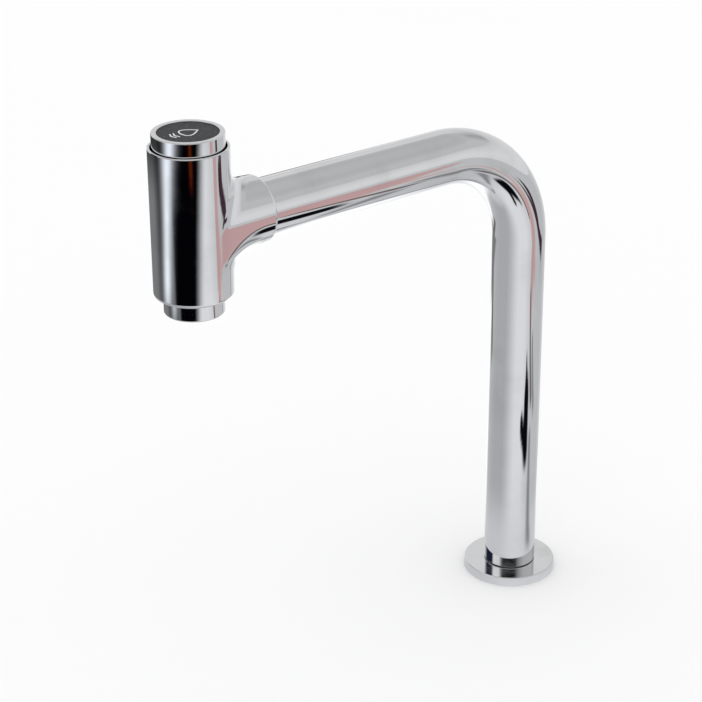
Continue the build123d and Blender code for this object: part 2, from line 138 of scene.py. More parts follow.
@dataclass(frozen=True)
class Outline:
    """The outline of a turned piece, from corners joined by straight lines and softened by arcs.

    The corners run up the outside and down the inside.
    """

    corners: tuple[Corner, ...]
    closed: bool = True
    arc_steps: int = 10

    def stretches(self) -> list[tuple[Stretch, int]]:
        """The straight and round stretches in order.

        A round of radius r at a corner of angle g starts r / tan(g / 2) before the corner, and its
        centre lies r / sin(g / 2) from the corner on the bisector.

        Returns:
            Pairs of a function from a share of 0 to 1 to (radius, height) points, and its steps.
        """
        points = np.array([(c.radius, c.height) for c in self.corners])
        rounds = [c.round for c in self.corners]
        count = len(points)
        starts, ends, arcs = [], [], []
        for index in range(count):
            corner = points[index]
            if rounds[index] == 0:
                starts.append(corner)
                ends.append(corner)
                arcs.append(None)
                continue
            back = unit(points[index - 1] - corner)
            ahead = unit(points[(index + 1) % count] - corner)
            half = math.acos(float(np.clip(back @ ahead, -1, 1))) / 2
            reach = rounds[index] / math.tan(half)
            centre = corner + unit(back + ahead) * rounds[index] / math.sin(half)
            starts.append(corner + back * reach)
            ends.append(corner + ahead * reach)
            arcs.append((centre, rounds[index]))
        made = []
        for index in range(count):
            if arcs[index] is not None:
                made.append((self._round(*arcs[index], starts[index], ends[index]), self.arc_steps))
            if index + 1 < count or self.closed:
                made.append((self._line(ends[index], starts[(index + 1) % count]), 1))
        return made

    @staticmethod
    def _line(start: Array, end: Array) -> Stretch:
        """A straight stretch from start to end."""
        return lambda share: start + (end - start) * share[..., None]

    @staticmethod
    def _round(centre: Array, radius: float, start: Array, end: Array) -> Stretch:
        """A round stretch about centre from start to end."""
        first = unit(start - centre)
        last = unit(end - centre)
        return lambda share: centre + radius * arc_between(first, last, share[..., None])


def on_axis(radius: Array, turn: Array, height: Array, axis_y: float) -> Array:
    """Points round an upright axis: (radius * sin(turn), axis_y + radius * cos(turn), height)."""
    return np.stack([radius * np.sin(turn), axis_y + radius * np.cos(turn), height + 0 * turn], -1)


@dataclass
class Skin:
    """A closed surface gathered from grids of points, with the exact normal kept at each corner."""

    name: str
    points: list[Array] = field(default_factory=list)
    normals: list[Array] = field(default_factory=list)
    quads: list[Array] = field(default_factory=list)
    total: int = 0

    def add_grid(self, points: Array, normals: Array) -> None:
        """Adds a grid whose faces look the way its normals point.

        Args:
            points: Rows by columns by 3.
            normals: The outward normal at each point.
        """
        rows, columns = points.shape[:2]
        index = self.total + np.arange(rows * columns).reshape(rows, columns)
        quads = np.stack([index[:-1, :-1], index[1:, :-1], index[1:, 1:], index[:-1, 1:]], -1)
        across = np.cross(points[1:, :-1] - points[:-1, 1:], points[1:, 1:] - points[:-1, :-1])
        if np.sum(across * normals[:-1, :-1]) < 0:
            quads = quads[..., ::-1]
        self.points.append(points.reshape(-1, 3))
        self.normals.append(normals.reshape(-1, 3))
        self.quads.append(quads.reshape(-1, 4))
        self.total += rows * columns

    def add_surface(self, surface: Surface, u: Array, v: Array, flip: bool = False) -> None:
        """Adds surface(u, v), with the normal from the cross product of its two slopes.

        Args:
            surface: A function of two parameter grids that gives points.
            u: The parameter of the rows.
            v: The parameter of the columns.
            flip: True where the cross product of the slopes along u and v points inwards.
        """
        rows, columns = np.meshgrid(u, v, indexing="ij")
        middle = (u[0] + u[-1]) / 2
        inset = middle + (rows - middle) * (1 - POLE_INSET)
        du = SLOPE_STEP * (u[-1] - u[0])
        dv = SLOPE_STEP * (v[-1] - v[0])
        along = surface(inset + du, columns) - surface(inset - du, columns)
        round_it = surface(inset, columns + dv) - surface(inset, columns - dv)
        normals = unit(np.cross(along, round_it))
        self.add_grid(surface(rows, columns), -normals if flip else normals)

    def add_turned(self, outline: Outline, axis_y: float = 0.0, columns: int = COLUMNS) -> None:
        """Adds an outline turned about an upright axis, one grid for each of its stretches.

        Args:
            outline: The outline in radius and height.
            axis_y: Where the axis stands.
            columns: The steps in a full turn.
        """
        turn = np.linspace(-math.pi, math.pi, columns + 1)
        for stretch, steps in outline.stretches():
            self.add_surface(turned_stretch(stretch, axis_y), np.linspace(0, 1, steps + 1), turn)

    def build(self) -> bpy.types.Object:
        """Welds the grids, drops faces without area and makes the object.

        Returns:
            The new object at the origin, with its place in its mesh.
        """
        points = np.concatenate(self.points)
        normals = np.concatenate(self.normals)
        quads = np.concatenate(self.quads)
        _, kept, welded = np.unique(
            np.round(points / WELD).astype(np.int64), axis=0, return_index=True, return_inverse=True
        )
        welded = welded.reshape(-1)
        corner = welded[quads]
        same = corner == np.roll(corner, -1, axis=1)
        whole = ~same.any(axis=1)
        pinched = same.sum(axis=1) == 1
        triangles = quads[pinched][~same[pinched]].reshape(-1, 3)
        loops = np.concatenate([quads[whole].ravel(), triangles.ravel()])
        sides = np.concatenate([np.full(whole.sum(), 4), np.full(len(triangles), 3)])
        mesh = bpy.data.meshes.new(self.name)
        mesh.vertices.add(len(kept))
        mesh.vertices.foreach_set("co", points[kept].astype(np.float32).ravel())
        mesh.loops.add(len(loops))
        mesh.loops.foreach_set("vertex_index", welded[loops].astype(np.int32))
        mesh.polygons.add(len(sides))
        mesh.polygons.foreach_set("loop_start", (np.cumsum(sides) - sides).astype(np.int32))
        mesh.polygons.foreach_set("use_smooth", np.ones(len(sides), bool))
        mesh.update(calc_edges=True)
        mesh.normals_split_custom_set(normals[loops])
        made = bpy.data.objects.new(self.name, mesh)
        bpy.context.scene.collection.objects.link(made)
        return made


def turned_stretch(stretch: Stretch, axis_y: float) -> Surface:
    """The surface that a stretch of an outline sweeps about an upright axis."""

    def surface(share: Array, turn: Array) -> Array:
        """Points at a share of the stretch and a turn about the axis."""
        outline = stretch(share)
        return on_axis(outline[..., 0], turn, outline[..., 1], axis_y)

    return surface


# Shader groups and finishes


def wire(tree: bpy.types.NodeTree, kind: str, settings: dict[str, object] | None = None,
         inputs: dict[str | int, object] | None = None) -> bpy.types.Node:
    """Adds one node, with its settings, and its inputs set or linked.

    Args:
        tree: The node tree.
        kind: The node's type name.
        settings: Properties of the node.
        inputs: Socket name or number, and a value or an output socket.

    Returns:
        The new node.
    """
    node = tree.nodes.new(kind)
    for name, value in (settings or {}).items():
        setattr(node, name, value)
    for key, value in (inputs or {}).items():
        if isinstance(value, bpy.types.NodeSocket):
            tree.links.new(value, node.inputs[key])
        else:
            node.inputs[key].default_value = value
    return node


def maths(tree: bpy.types.NodeTree, operation: str, *values: object) -> bpy.types.NodeSocket:
    """One math node. Returns its output socket."""
    return wire(tree, "ShaderNodeMath", {"operation": operation}, dict(enumerate(values))).outputs[0]


def ranged(tree: bpy.types.NodeTree, value: object, low: object, high: object, to_low: object,
           to_high: object) -> bpy.types.NodeSocket:
    """A smooth step of value from low to high, put out from to_low to to_high."""
    inputs = {"Value": value, "From Min": low, "From Max": high, "To Min": to_low, "To Max": to_high}
    return wire(tree, "ShaderNodeMapRange", {"interpolation_type": "SMOOTHSTEP"}, inputs).outputs["Result"]


def effect(name: str, inputs: dict[str, float], output: str) -> tuple[bpy.types.NodeTree, bpy.types.Node]:
    """Starts a shader group with number inputs and one number output.

    Args:
        name: The group's name.
        inputs: Input names with their first values.
        output: The output's name.

    Returns:
        The group and its input node.
    """
    group = bpy.data.node_groups.new(name, "ShaderNodeTree")
    for label, value in inputs.items():
        socket = group.interface.new_socket(label, in_out="INPUT", socket_type="NodeSocketFloat")
        socket.default_value = value
    group.interface.new_socket(output, in_out="OUTPUT", socket_type="NodeSocketFloat")
    return group, group.nodes.new("NodeGroupInput")


def close_effect(group: bpy.types.NodeTree, value: bpy.types.NodeSocket) -> bpy.types.NodeTree:
    """Links the group's output. Returns the group."""
    group.links.new(value, group.nodes.new("NodeGroupOutput").inputs[0])
    return group


def scaled_place(group: bpy.types.NodeTree, size: bpy.types.NodeSocket) -> bpy.types.NodeSocket:
    """The place on the object divided by a size, so that a pattern has that scale in metres."""
    place = group.nodes.new("ShaderNodeTexCoord").outputs["Object"]
    scale = maths(group, "DIVIDE", 1.0, size)
    inputs = {0: place, "Scale": scale}
    return wire(group, "ShaderNodeVectorMath", {"operation": "SCALE"}, inputs).outputs["Vector"]


class Effects:
    """The shader groups that several finishes share, each made once."""

    made: dict[str, bpy.types.NodeTree] = {}

    @classmethod
    def clouds(cls) -> bpy.types.NodeTree:
        """Soft clouds from 0 to 1 with a size in metres, for smudges, haze and slow waves."""
        if "clouds" not in cls.made:
            group, given = effect("clouds", {"Size": 0.02, "Low": 0.4, "High": 0.65}, "Mask")
            place = scaled_place(group, given.outputs["Size"])
            noise = wire(group, "ShaderNodeTexNoise", inputs={"Vector": place, "Scale": 1.0, "Detail": 3.0})
            mask = ranged(group, noise.outputs[0], given.outputs["Low"], given.outputs["High"], 0.0, 1.0)
            cls.made["clouds"] = close_effect(group, mask)
        return cls.made["clouds"]

    @classmethod
    def scratches(cls) -> bpy.types.NodeTree:
        """Hairlines from 0 to 1: the thin ridges of a noise drawn out along one level direction."""
        if "scratches" not in cls.made:
            given_inputs = {"Spacing": 0.0012, "Stretch": 0.05, "Turn": 0.6, "Thin": 0.02}
            group, given = effect("scratches", given_inputs, "Lines")
            place = scaled_place(group, given.outputs["Spacing"])
            turned = wire(group, "ShaderNodeVectorRotate", {"rotation_type": "Z_AXIS"},
                          {"Vector": place, "Angle": given.outputs["Turn"]}).outputs[0]
            squeeze = wire(group, "ShaderNodeCombineXYZ",
                           inputs={0: given.outputs["Stretch"], 1: 1.0, 2: 0.3}).outputs[0]
            drawn = wire(group, "ShaderNodeVectorMath", {"operation": "MULTIPLY"}, {0: turned, 1: squeeze})
            noise = wire(group, "ShaderNodeTexNoise",
                         inputs={"Vector": drawn.outputs[0], "Scale": 1.0, "Detail": 1.0})
            ridge = maths(group, "ABSOLUTE", maths(group, "SUBTRACT", noise.outputs[0], 0.5))
            lines = ranged(group, ridge, 0.0, given.outputs["Thin"], 1.0, 0.0)
            patch = wire(group, "ShaderNodeTexNoise",
                         inputs={"Vector": place, "Scale": 0.16, "Detail": 2.0}).outputs[0]
            cls.made["scratches"] = close_effect(
                group, maths(group, "MULTIPLY", lines, ranged(group, patch, 0.42, 0.6, 0.0, 1.0)))
        return cls.made["scratches"]

    @classmethod
    def flecks(cls) -> bpy.types.NodeTree:
        """Small bright grains from 0 to 1: cells whose own random number is above a limit."""
        if "flecks" not in cls.made:
            group, given = effect("flecks", {"Size": 0.0003, "Limit": 0.7}, "Mask")
            place = scaled_place(group, given.outputs["Size"])
            cells = wire(group, "ShaderNodeTexVoronoi", inputs={"Vector": place, "Scale": 1.0})
            grey = wire(group, "ShaderNodeSeparateColor", inputs={0: cells.outputs["Color"]}).outputs[0]
            chosen = ranged(group, grey, given.outputs["Limit"], 1.0, 0.0, 1.0)
            core = ranged(group, cells.outputs["Distance"], 0.15, 0.5, 1.0, 0.0)
            cls.made["flecks"] = close_effect(group, maths(group, "MULTIPLY", chosen, core))
        return cls.made["flecks"]

    @classmethod
    def turning(cls) -> bpy.types.NodeTree:
        """Lathe marks from 0 to 1, a sine of height over the pitch, blurred by a little noise."""
        if "turning" not in cls.made:
            group, given = effect("turning", {"Pitch": 0.0004}, "Height")
            place = scaled_place(group, given.outputs["Pitch"])
            height = wire(group, "ShaderNodeSeparateXYZ", inputs={0: place}).outputs[2]
            noise = wire(group, "ShaderNodeTexNoise",
                         inputs={"Vector": place, "Scale": 0.05, "Detail": 2.0}).outputs[0]
            wobbly = maths(group, "ADD", height, maths(group, "MULTIPLY", noise, 2.0))
            wave = maths(group, "SINE", maths(group, "MULTIPLY", wobbly, FULL_TURN))
            cls.made["turning"] = close_effect(group, maths(group, "MULTIPLY_ADD", wave, 0.5, 0.5))
        return cls.made["turning"]


def use(tree: bpy.types.NodeTree, group: bpy.types.NodeTree, **values: float) -> bpy.types.NodeSocket:
    """Places a shared group in a material with its own values. Returns its output socket."""
    node = wire(tree, "ShaderNodeGroup", {"node_tree": group}, values)
    return node.outputs[0]


def mixed_colour(tree: bpy.types.NodeTree, mask: bpy.types.NodeSocket, first: Colour,
                 second: Colour) -> bpy.types.NodeSocket:
    """A colour between first and second by a mask from 0 to 1."""
    node = wire(tree, "ShaderNodeMix", {"data_type": "RGBA"}, {0: mask, 6: (*first, 1.0), 7: (*second, 1.0)})
    return node.outputs[2]


def start_material(name: str, constants: dict[str, object]) -> tuple[bpy.types.NodeTree, bpy.types.Node]:
    """Starts a material and sets the shader's constant sockets.

    Args:
        name: The material's name.
        constants: Socket names of the shader and their values.

    Returns:
        The material's node tree and its shader node.
    """
    material = bpy.data.materials.new(name)
    material.use_nodes = True
    shader = material.node_tree.nodes["Principled BSDF"]
    for key, value in constants.items():
        shader.inputs[key].default_value = value
    return material.node_tree, shader


def bump(tree: bpy.types.NodeTree, height: bpy.types.NodeSocket, depth: float,
         under: bpy.types.NodeSocket | None = None) -> bpy.types.NodeSocket:
    """A bump of a real depth in metres, over another one where given. Returns its normal."""
    inputs = {"Height": height, "Distance": depth, "Strength": 1.0}
    if under is not None:
        inputs["Normal"] = under
    return wire(tree, "ShaderNodeBump", inputs=inputs).outputs[0]


@dataclass(frozen=True)
class ChromeFinish:
    """Polished chrome plate: nearly a mirror, with faint haze, slow waves and hairlines."""

    name: str
    colour: Colour = (0.80, 0.805, 0.815)
    hazed_colour: Colour = (0.74, 0.745, 0.75)
    polish: float = 0.035
    haze: float = 0.10
    wave_size: float = 0.016
    wave_depth: float = 0.000010
    scratch_depth: float = 0.0000004
    scratch_spacing: float = 0.0010

    def material(self) -> bpy.types.Material:
        """Builds the material. Returns it."""
        tree, shader = start_material(self.name, {"Metallic": 1.0})
        smudge = use(tree, Effects.clouds(), Size=0.021, Low=0.45, High=0.75)
        links = tree.links
        links.new(mixed_colour(tree, smudge, self.colour, self.hazed_colour), shader.inputs["Base Color"])
        links.new(ranged(tree, smudge, 0.0, 1.0, self.polish, self.haze), shader.inputs["Roughness"])
        waves = use(tree, Effects.clouds(), Size=self.wave_size, Low=0.2, High=0.8)
        lines = use(tree, Effects.scratches(), Spacing=self.scratch_spacing, Stretch=0.05, Turn=0.6,
                    Thin=0.02)
        links.new(bump(tree, lines, self.scratch_depth, bump(tree, waves, self.wave_depth)),
                  shader.inputs["Normal"])
        return bpy.data.materials[self.name]


@dataclass(frozen=True)
class TurnedMetal:
    """Brass or steel from a lathe, with fine turning marks and a little tarnish."""

    name: str
    colour: Colour
    tarnish: Colour
    roughness: float = 0.24
    dulling: float = 1.6
    pitch: float = 0.0004
    mark_depth: float = 0.000004

    def material(self) -> bpy.types.Material:
        """Builds the material. Returns it."""
        tree, shader = start_material(self.name, {"Metallic": 1.0})
        stain = use(tree, Effects.clouds(), Size=0.006, Low=0.35, High=0.75)
        marks = use(tree, Effects.turning(), Pitch=self.pitch)
        tree.links.new(mixed_colour(tree, stain, self.colour, self.tarnish), shader.inputs["Base Color"])
        tree.links.new(ranged(tree, stain, 0.0, 1.0, self.roughness, self.dulling * self.roughness),
                       shader.inputs["Roughness"])
        tree.links.new(bump(tree, marks, self.mark_depth), shader.inputs["Normal"])
        return bpy.data.materials[self.name]


@dataclass(frozen=True)
class MouldedPlastic:
    """Moulded plastic or rubber, with a fine grain and a slight change of tone."""

    name: str
    colour: Colour
    shade: Colour
    roughness: float = 0.45
    dulling: float = 1.3
    grain_size: float = 0.0005
    grain_depth: float = 0.00001

    def material(self) -> bpy.types.Material:
        """Builds the material. Returns it."""
        tree, shader = start_material(self.name, {"Specular IOR Level": 0.45})
        tone = use(tree, Effects.clouds(), Size=0.008, Low=0.3, High=0.8)
        grain = use(tree, Effects.clouds(), Size=self.grain_size, Low=0.3, High=0.7)
        tree.links.new(mixed_colour(tree, tone, self.colour, self.shade), shader.inputs["Base Color"])
        tree.links.new(ranged(tree, tone, 0.0, 1.0, self.roughness, self.dulling * self.roughness),
                       shader.inputs["Roughness"])
        tree.links.new(bump(tree, grain, self.grain_depth), shader.inputs["Normal"])
        return bpy.data.materials[self.name]


@dataclass(frozen=True)
class SpeckledInsert:
    """The dark grey face of the button, with fine light grains under a thin clear film."""

    name: str
    ground: Colour = (0.017, 0.017, 0.020)
    fleck: Colour = (0.12, 0.125, 0.14)
    fleck_size: float = 0.00045
    coarse_share: float = 2.2
    ground_roughness: float = 0.42
    fleck_roughness: float = 0.25
    fleck_depth: float = 0.000012

    def material(self) -> bpy.types.Material:
        """Builds the material. Returns it."""
        tree, shader = start_material(
            self.name, {"Specular IOR Level": 0.16, "Coat Weight": 0.03, "Coat Roughness": 0.12})
        fine = use(tree, Effects.flecks(), Size=self.fleck_size, Limit=0.45)
        coarse = use(tree, Effects.flecks(), Size=self.coarse_share * self.fleck_size, Limit=0.8)
        both = maths(tree, "MAXIMUM", fine, coarse)
        tree.links.new(mixed_colour(tree, both, self.ground, self.fleck), shader.inputs["Base Color"])
        tree.links.new(ranged(tree, both, 0.0, 1.0, self.ground_roughness, self.fleck_roughness),
                       shader.inputs["Roughness"])
        tree.links.new(bump(tree, both, self.fleck_depth), shader.inputs["Normal"])
        return bpy.data.materials[self.name]


class Finishes:
    """One material for each slot, and those of the pieces that differ from their slot."""

    def __init__(self) -> None:
        """Builds every material."""
        self.by_slot: dict[Slot, bpy.types.Material] = {
            Slot.CHROME: ChromeFinish("chrome_plate").material(),
            Slot.INSERT: SpeckledInsert("speckled_insert").material(),
            Slot.BRASS: TurnedMetal("turned_brass", (0.72, 0.50, 0.22), (0.50, 0.33, 0.14)).material(),
            Slot.STEEL: TurnedMetal("turned_steel", (0.62, 0.62, 0.61), (0.50, 0.50, 0.50)).material(),
            Slot.RUBBER: MouldedPlastic(
                "sealing_rubber", (0.018, 0.018, 0.018), (0.030, 0.030, 0.030), 0.62).material(),
            Slot.BLACK_PLASTIC: MouldedPlastic(
                "black_plastic", (0.012, 0.012, 0.013), (0.020, 0.020, 0.021), 0.35).material(),
            Slot.WHITE_PLASTIC: MouldedPlastic(
                "white_plastic", (0.78, 0.78, 0.74), (0.70, 0.70, 0.66), 0.38).material(),
        }
        self.flange = ChromeFinish(
            "flange_chrome", polish=0.06, haze=0.20, wave_depth=0.000004,
            scratch_depth=0.0000022, scratch_spacing=0.0007).material()
        self.print = MouldedPlastic(
            "white_print", (0.82, 0.83, 0.85), (0.70, 0.71, 0.74), 0.30, grain_depth=0.000002).material()


def dress(piece: bpy.types.Object, material: bpy.types.Material, body: Body, slot: Slot,
          *replaced: str) -> None:
    """Gives a finished piece its material and its body, and hides the CAD nodes that it stands for.

    Args:
        piece: The new object.
        material: Its finish.
        body: The body that it rides on.
        slot: The record's slot for its finish; not used.
        *replaced: CAD nodes that it stands for.
    """
    piece.data.materials.append(material)
    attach(piece, body.value)
    if replaced:
        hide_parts(*replaced)
    LOG.info("%s: %d faces on %s", piece.name, len(piece.data.polygons), body.value)


# The tap's sub-assemblies


@dataclass(frozen=True)
class Base:
    """The flange on the deck, the glide ring on it and the threaded shank with its spigot."""

    finishes: Finishes
    flange_edge: float = 0.5 * MM
    flange_foot_edge: float = 0.2 * MM
    flange_draft: float = 0.4 * MM
    gasket_height: float = 1.5 * MM
    gasket_inset: float = 2.4 * MM
    gasket_play: float = 0.05 * MM
    glide_edge: float = 0.12 * MM
    glide_steps: int = 4
    bore: float = 10.6 * MM
    water_bore: float = 6.48 * MM
    spigot_bore: float = 6.0 * MM
    spigot_radius: float = 9.0 * MM
    spigot_lead: float = 1.0 * MM
    collar_height: float = 4.0 * MM
    collar_foot_edge: float = 0.2 * MM
    collar_edge: float = 0.3 * MM
    seal_section: float = 0.7 * MM
    groove_depth: float = 1.5 * MM
    seal_groove_width: float = 1.6 * MM
    ring_groove_width: float = 2.1 * MM
    ring_groove_depth: float = 0.75 * MM
    thread_crest: float = 10.48 * MM
    thread_pitch: float = 1.814 * MM
    thread_depth: float = 1.16 * MM
    thread_runout: float = 2.5 * MM
    thread_steps: int = 10
    thread_columns: int = 72
    tail_groove_depth: float = 1.2 * MM
    tail_groove: tuple[float, float] = (-37.0 * MM, -35.0 * MM)
    strainer_seat: float = 0.8 * MM

    def build(self) -> None:
        """Makes the flange, the glide ring and the shank."""
        self.flange()
        self.glide_ring()
        self.shank()

    def flange(self) -> None:
        """The drafted foot plate with soft edges and a recess for its gasket."""
        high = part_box("base_flange")[1]
        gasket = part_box("flange_gasket")[1].x + self.gasket_play
        gasket_bore = self.bore + self.gasket_inset - self.gasket_play
        skin = Skin("deck_flange")
        skin.add_turned(Outline((
            Corner(gasket, 0), Corner(high.x, 0, self.flange_foot_edge),
            Corner(high.x - self.flange_draft, high.z, self.flange_edge), Corner(self.bore, high.z),
            Corner(self.bore, 0), Corner(gasket_bore, 0),
            Corner(gasket_bore, self.gasket_height), Corner(gasket, self.gasket_height),
        )))
        dress(skin.build(), self.finishes.flange, Body.BASE, Slot.CHROME, "base_flange")

    def glide_ring(self) -> None:
        """The thin dark ring in the seam between the flange and the tube."""
        low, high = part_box("glide_ring")
        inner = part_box("shank_spigot")[1].x + self.gasket_play
        soft = self.glide_edge
        skin = Skin("glide_washer")
        skin.add_turned(Outline((
            Corner(high.x, low.z, soft), Corner(high.x, high.z, soft),
            Corner(inner, high.z), Corner(inner, low.z),
        ), arc_steps=self.glide_steps))
        dress(skin.build(), self.finishes.by_slot[Slot.BLACK_PLASTIC], Body.BASE, Slot.BLACK_PLASTIC,
              "glide_ring")

    def groove(self, radius: float, depth: float, middle: float, width: float) -> tuple[Corner, ...]:
        """The four corners of a square groove, from its low edge to its high edge."""
        low, high = middle - width / 2, middle + width / 2
        return (Corner(radius, low), Corner(radius - depth, low), Corner(radius - depth, high),
                Corner(radius, high))

    def shank(self) -> None:
        """The turned shank: a cut thread below the flange, the collar, and the spigot with grooves."""
        low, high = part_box("shank_spigot")
        crest = self.thread_crest
        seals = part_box("spigot_seals")
        seal_low = seals[0].z + self.seal_section
        seal_high = seals[1].z - self.seal_section
        ring = sum(z.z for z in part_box("spigot_split_ring")) / 2
        flange_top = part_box("base_flange")[1].z
        collar_top = flange_top + self.collar_height
        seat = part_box("inlet_strainer")[1].x + self.gasket_play
        skin = Skin("threaded_shank")
        skin.add_turned(Outline((
            Corner(crest, flange_top), Corner(high.x, flange_top, self.collar_foot_edge),
            Corner(high.x, collar_top, self.collar_edge), Corner(self.spigot_radius, collar_top),
            *self.groove(self.spigot_radius, self.groove_depth, seal_low, self.seal_groove_width),
            *self.groove(self.spigot_radius, self.groove_depth, seal_high, self.seal_groove_width),
            *self.groove(self.spigot_radius, self.ring_groove_depth, ring, self.ring_groove_width),
            Corner(self.spigot_radius, high.z - self.spigot_lead),
            Corner(self.spigot_radius - self.spigot_lead, high.z), Corner(self.spigot_bore, high.z),
            Corner(self.spigot_bore, flange_top), Corner(self.water_bore, 0),
            Corner(self.water_bore, low.z + self.strainer_seat), Corner(seat, low.z + self.strainer_seat),
            Corner(seat, low.z), Corner(crest - self.thread_depth, low.z),
        ), closed=False), columns=self.thread_columns)
        span = flange_top - low.z
        rows = int(span / self.thread_pitch * self.thread_steps)
        heights = np.linspace(low.z, flange_top, rows + 1)
        turn = np.linspace(-math.pi, math.pi, self.thread_columns + 1)
        skin.add_surface(self.thread(crest, low.z, flange_top), heights, turn)
        LOG.info("thread of %d turns", span / self.thread_pitch)
        dress(skin.build(), self.finishes.by_slot[Slot.BRASS], Body.BASE, Slot.BRASS, "shank_spigot")

    def thread(self, crest: float, low: float, high: float) -> Surface:
        """The cut thread: radius = crest - depth * (1 + cos(2 pi (height / pitch - turn / 2 pi))) / 2.

        The depth fades at the upper end, the tail is cut away in a plain groove, and the lower end
        starts at the thread's root.

        Args:
            crest: The radius over the thread.
            low: The height of its lower end.
            high: The height of its upper end.

        Returns:
            The surface as a function of height and turn.
        """

        def surface(height: Array, turn: Array) -> Array:
            """Points at a height and a turn."""
            phase = FULL_TURN * height / self.thread_pitch - turn
            cut = 0.5 + 0.5 * np.cos(phase)
            fade = np.clip((high - height) / self.thread_runout, 0, 1)
            lead = np.clip((height - low) / self.thread_runout, 0, 1)
            radius = crest - self.thread_depth * (1 - (1 - cut) * lead) * fade
            inside = (height > self.tail_groove[0]) & (height < self.tail_groove[1])
            radius = np.where(inside, np.minimum(radius, crest - self.tail_groove_depth), radius)
            return on_axis(radius, turn, height, 0.0)

        return surface


@dataclass(frozen=True)
class SpoutTube:
    """The bent tube: riser, quarter bend and level arm, with its wall and its two ends."""

    finishes: Finishes
    bend_radius: float = 55.0 * MM
    wall: float = 1.5 * MM
    foot_edge: float = 0.3 * MM
    bend_steps: int = 64
    edge_steps: int = 6
    columns: int = 160

    def build(self) -> None:
        """Makes the tube from its box: outer wall, bore and the rounded ends."""
        low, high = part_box("spout_tube")
        radius = high.x
        arm = high.z - radius
        straight = arm - self.bend_radius - low.z
        quarter = self.bend_radius * math.pi / 2
        length = straight + quarter + (-self.bend_radius - low.y)
        turn = np.linspace(-math.pi, math.pi, self.columns + 1)
        along = np.concatenate([
            [self.foot_edge, straight], straight + np.linspace(0, quarter, self.bend_steps + 1)[1:],
            [length - self.foot_edge],
        ])
        inside = along.copy()
        inside[0] = 0.0
        inside[-1] = length
        skin = Skin("tube_skin")
        wall = self.swept(lambda s: np.full_like(s, radius), low.z, straight, arm)
        bore = self.swept(lambda s: np.full_like(s, radius - self.wall), low.z, straight, arm)
        skin.add_surface(wall, along, turn)
        skin.add_surface(bore, inside, turn, flip=True)
        for end, sign in ((0.0, 1.0), (length, -1.0)):
            self.end_edge(skin, low.z, straight, arm, radius, end, sign)
        dress(skin.build(), self.finishes.by_slot[Slot.CHROME], Body.SPOUT, Slot.CHROME, "spout_tube")

    def end_edge(self, skin: Skin, foot: float, straight: float, arm: float, radius: float,
                 end: float, sign: float) -> None:
        """Adds one end of the tube: a quarter round on its outer edge and a flat ring to the bore.

        Args:
            skin: The tube's surface.
            foot: The height of the tube's foot.
            straight: The riser's length.
            arm: The height of the arm's axis.
            radius: The outer radius.
            end: The length along the path at this end.
            sign: 1 at the foot and -1 at the arm's end.
        """
        turn = np.linspace(-math.pi, math.pi, self.columns + 1)
        edge = self.foot_edge

        def rounded(share: Array, around: Array) -> Array:
            """Points on the quarter round, by its angle."""
            angle = share * math.pi / 2
            place = end + sign * edge * (1 - np.cos(angle))
            return self.point(place, around, radius - edge * (1 - np.sin(angle)), foot, straight, arm)

        def ring(share: Array, around: Array) -> Array:
            """Points on the flat ring, from the bore outwards."""
            inner = radius - self.wall
            reach = inner + (radius - edge - inner) * share
            return self.point(end + 0 * share, around, reach, foot, straight, arm)

        skin.add_surface(rounded, np.linspace(0, 1, self.edge_steps + 1), turn, flip=sign < 0)
        skin.add_surface(ring, np.linspace(0, 1, 2), turn, flip=sign < 0)

    def swept(self, radius: Callable[[Array], Array], foot: float, straight: float,
              arm: float) -> Surface:
        """The surface of a tube of that radius along the path."""
        return lambda place, turn: self.point(place, turn, radius(place), foot, straight, arm)

    def point(self, place: Array, turn: Array, radius: Array, foot: float, straight: float,
              arm: float) -> Array:
        """Points of the tube at a length along its path and a turn about it.

        The path rises, turns through a quarter circle towards -Y, and runs level. With b the angle
        turned, its direction is (0, -sin b, cos b) and its outer side is (0, cos b, sin b). A point
        is path + radius * (sin(turn) * X + cos(turn) * outer side).

        Args:
            place: Length along the path from the foot.
            turn: Angle about the path.
            radius: Distance from the path.
            foot: The height of the foot.
            straight: The riser's length.
            arm: The height of the arm's axis.

        Returns:
            The points.
        """
        bend = np.clip((place - straight) / self.bend_radius, 0, math.pi / 2)
        rise = np.minimum(place, straight)
        level = np.maximum(place - straight - self.bend_radius * math.pi / 2, 0)
        y = -self.bend_radius * (1 - np.cos(bend)) - level
        z = foot + rise + self.bend_radius * np.sin(bend)
        outward = radius * np.cos(turn)
        return np.stack([radius * np.sin(turn), y + outward * np.cos(bend), z + outward * np.sin(bend)], -1)


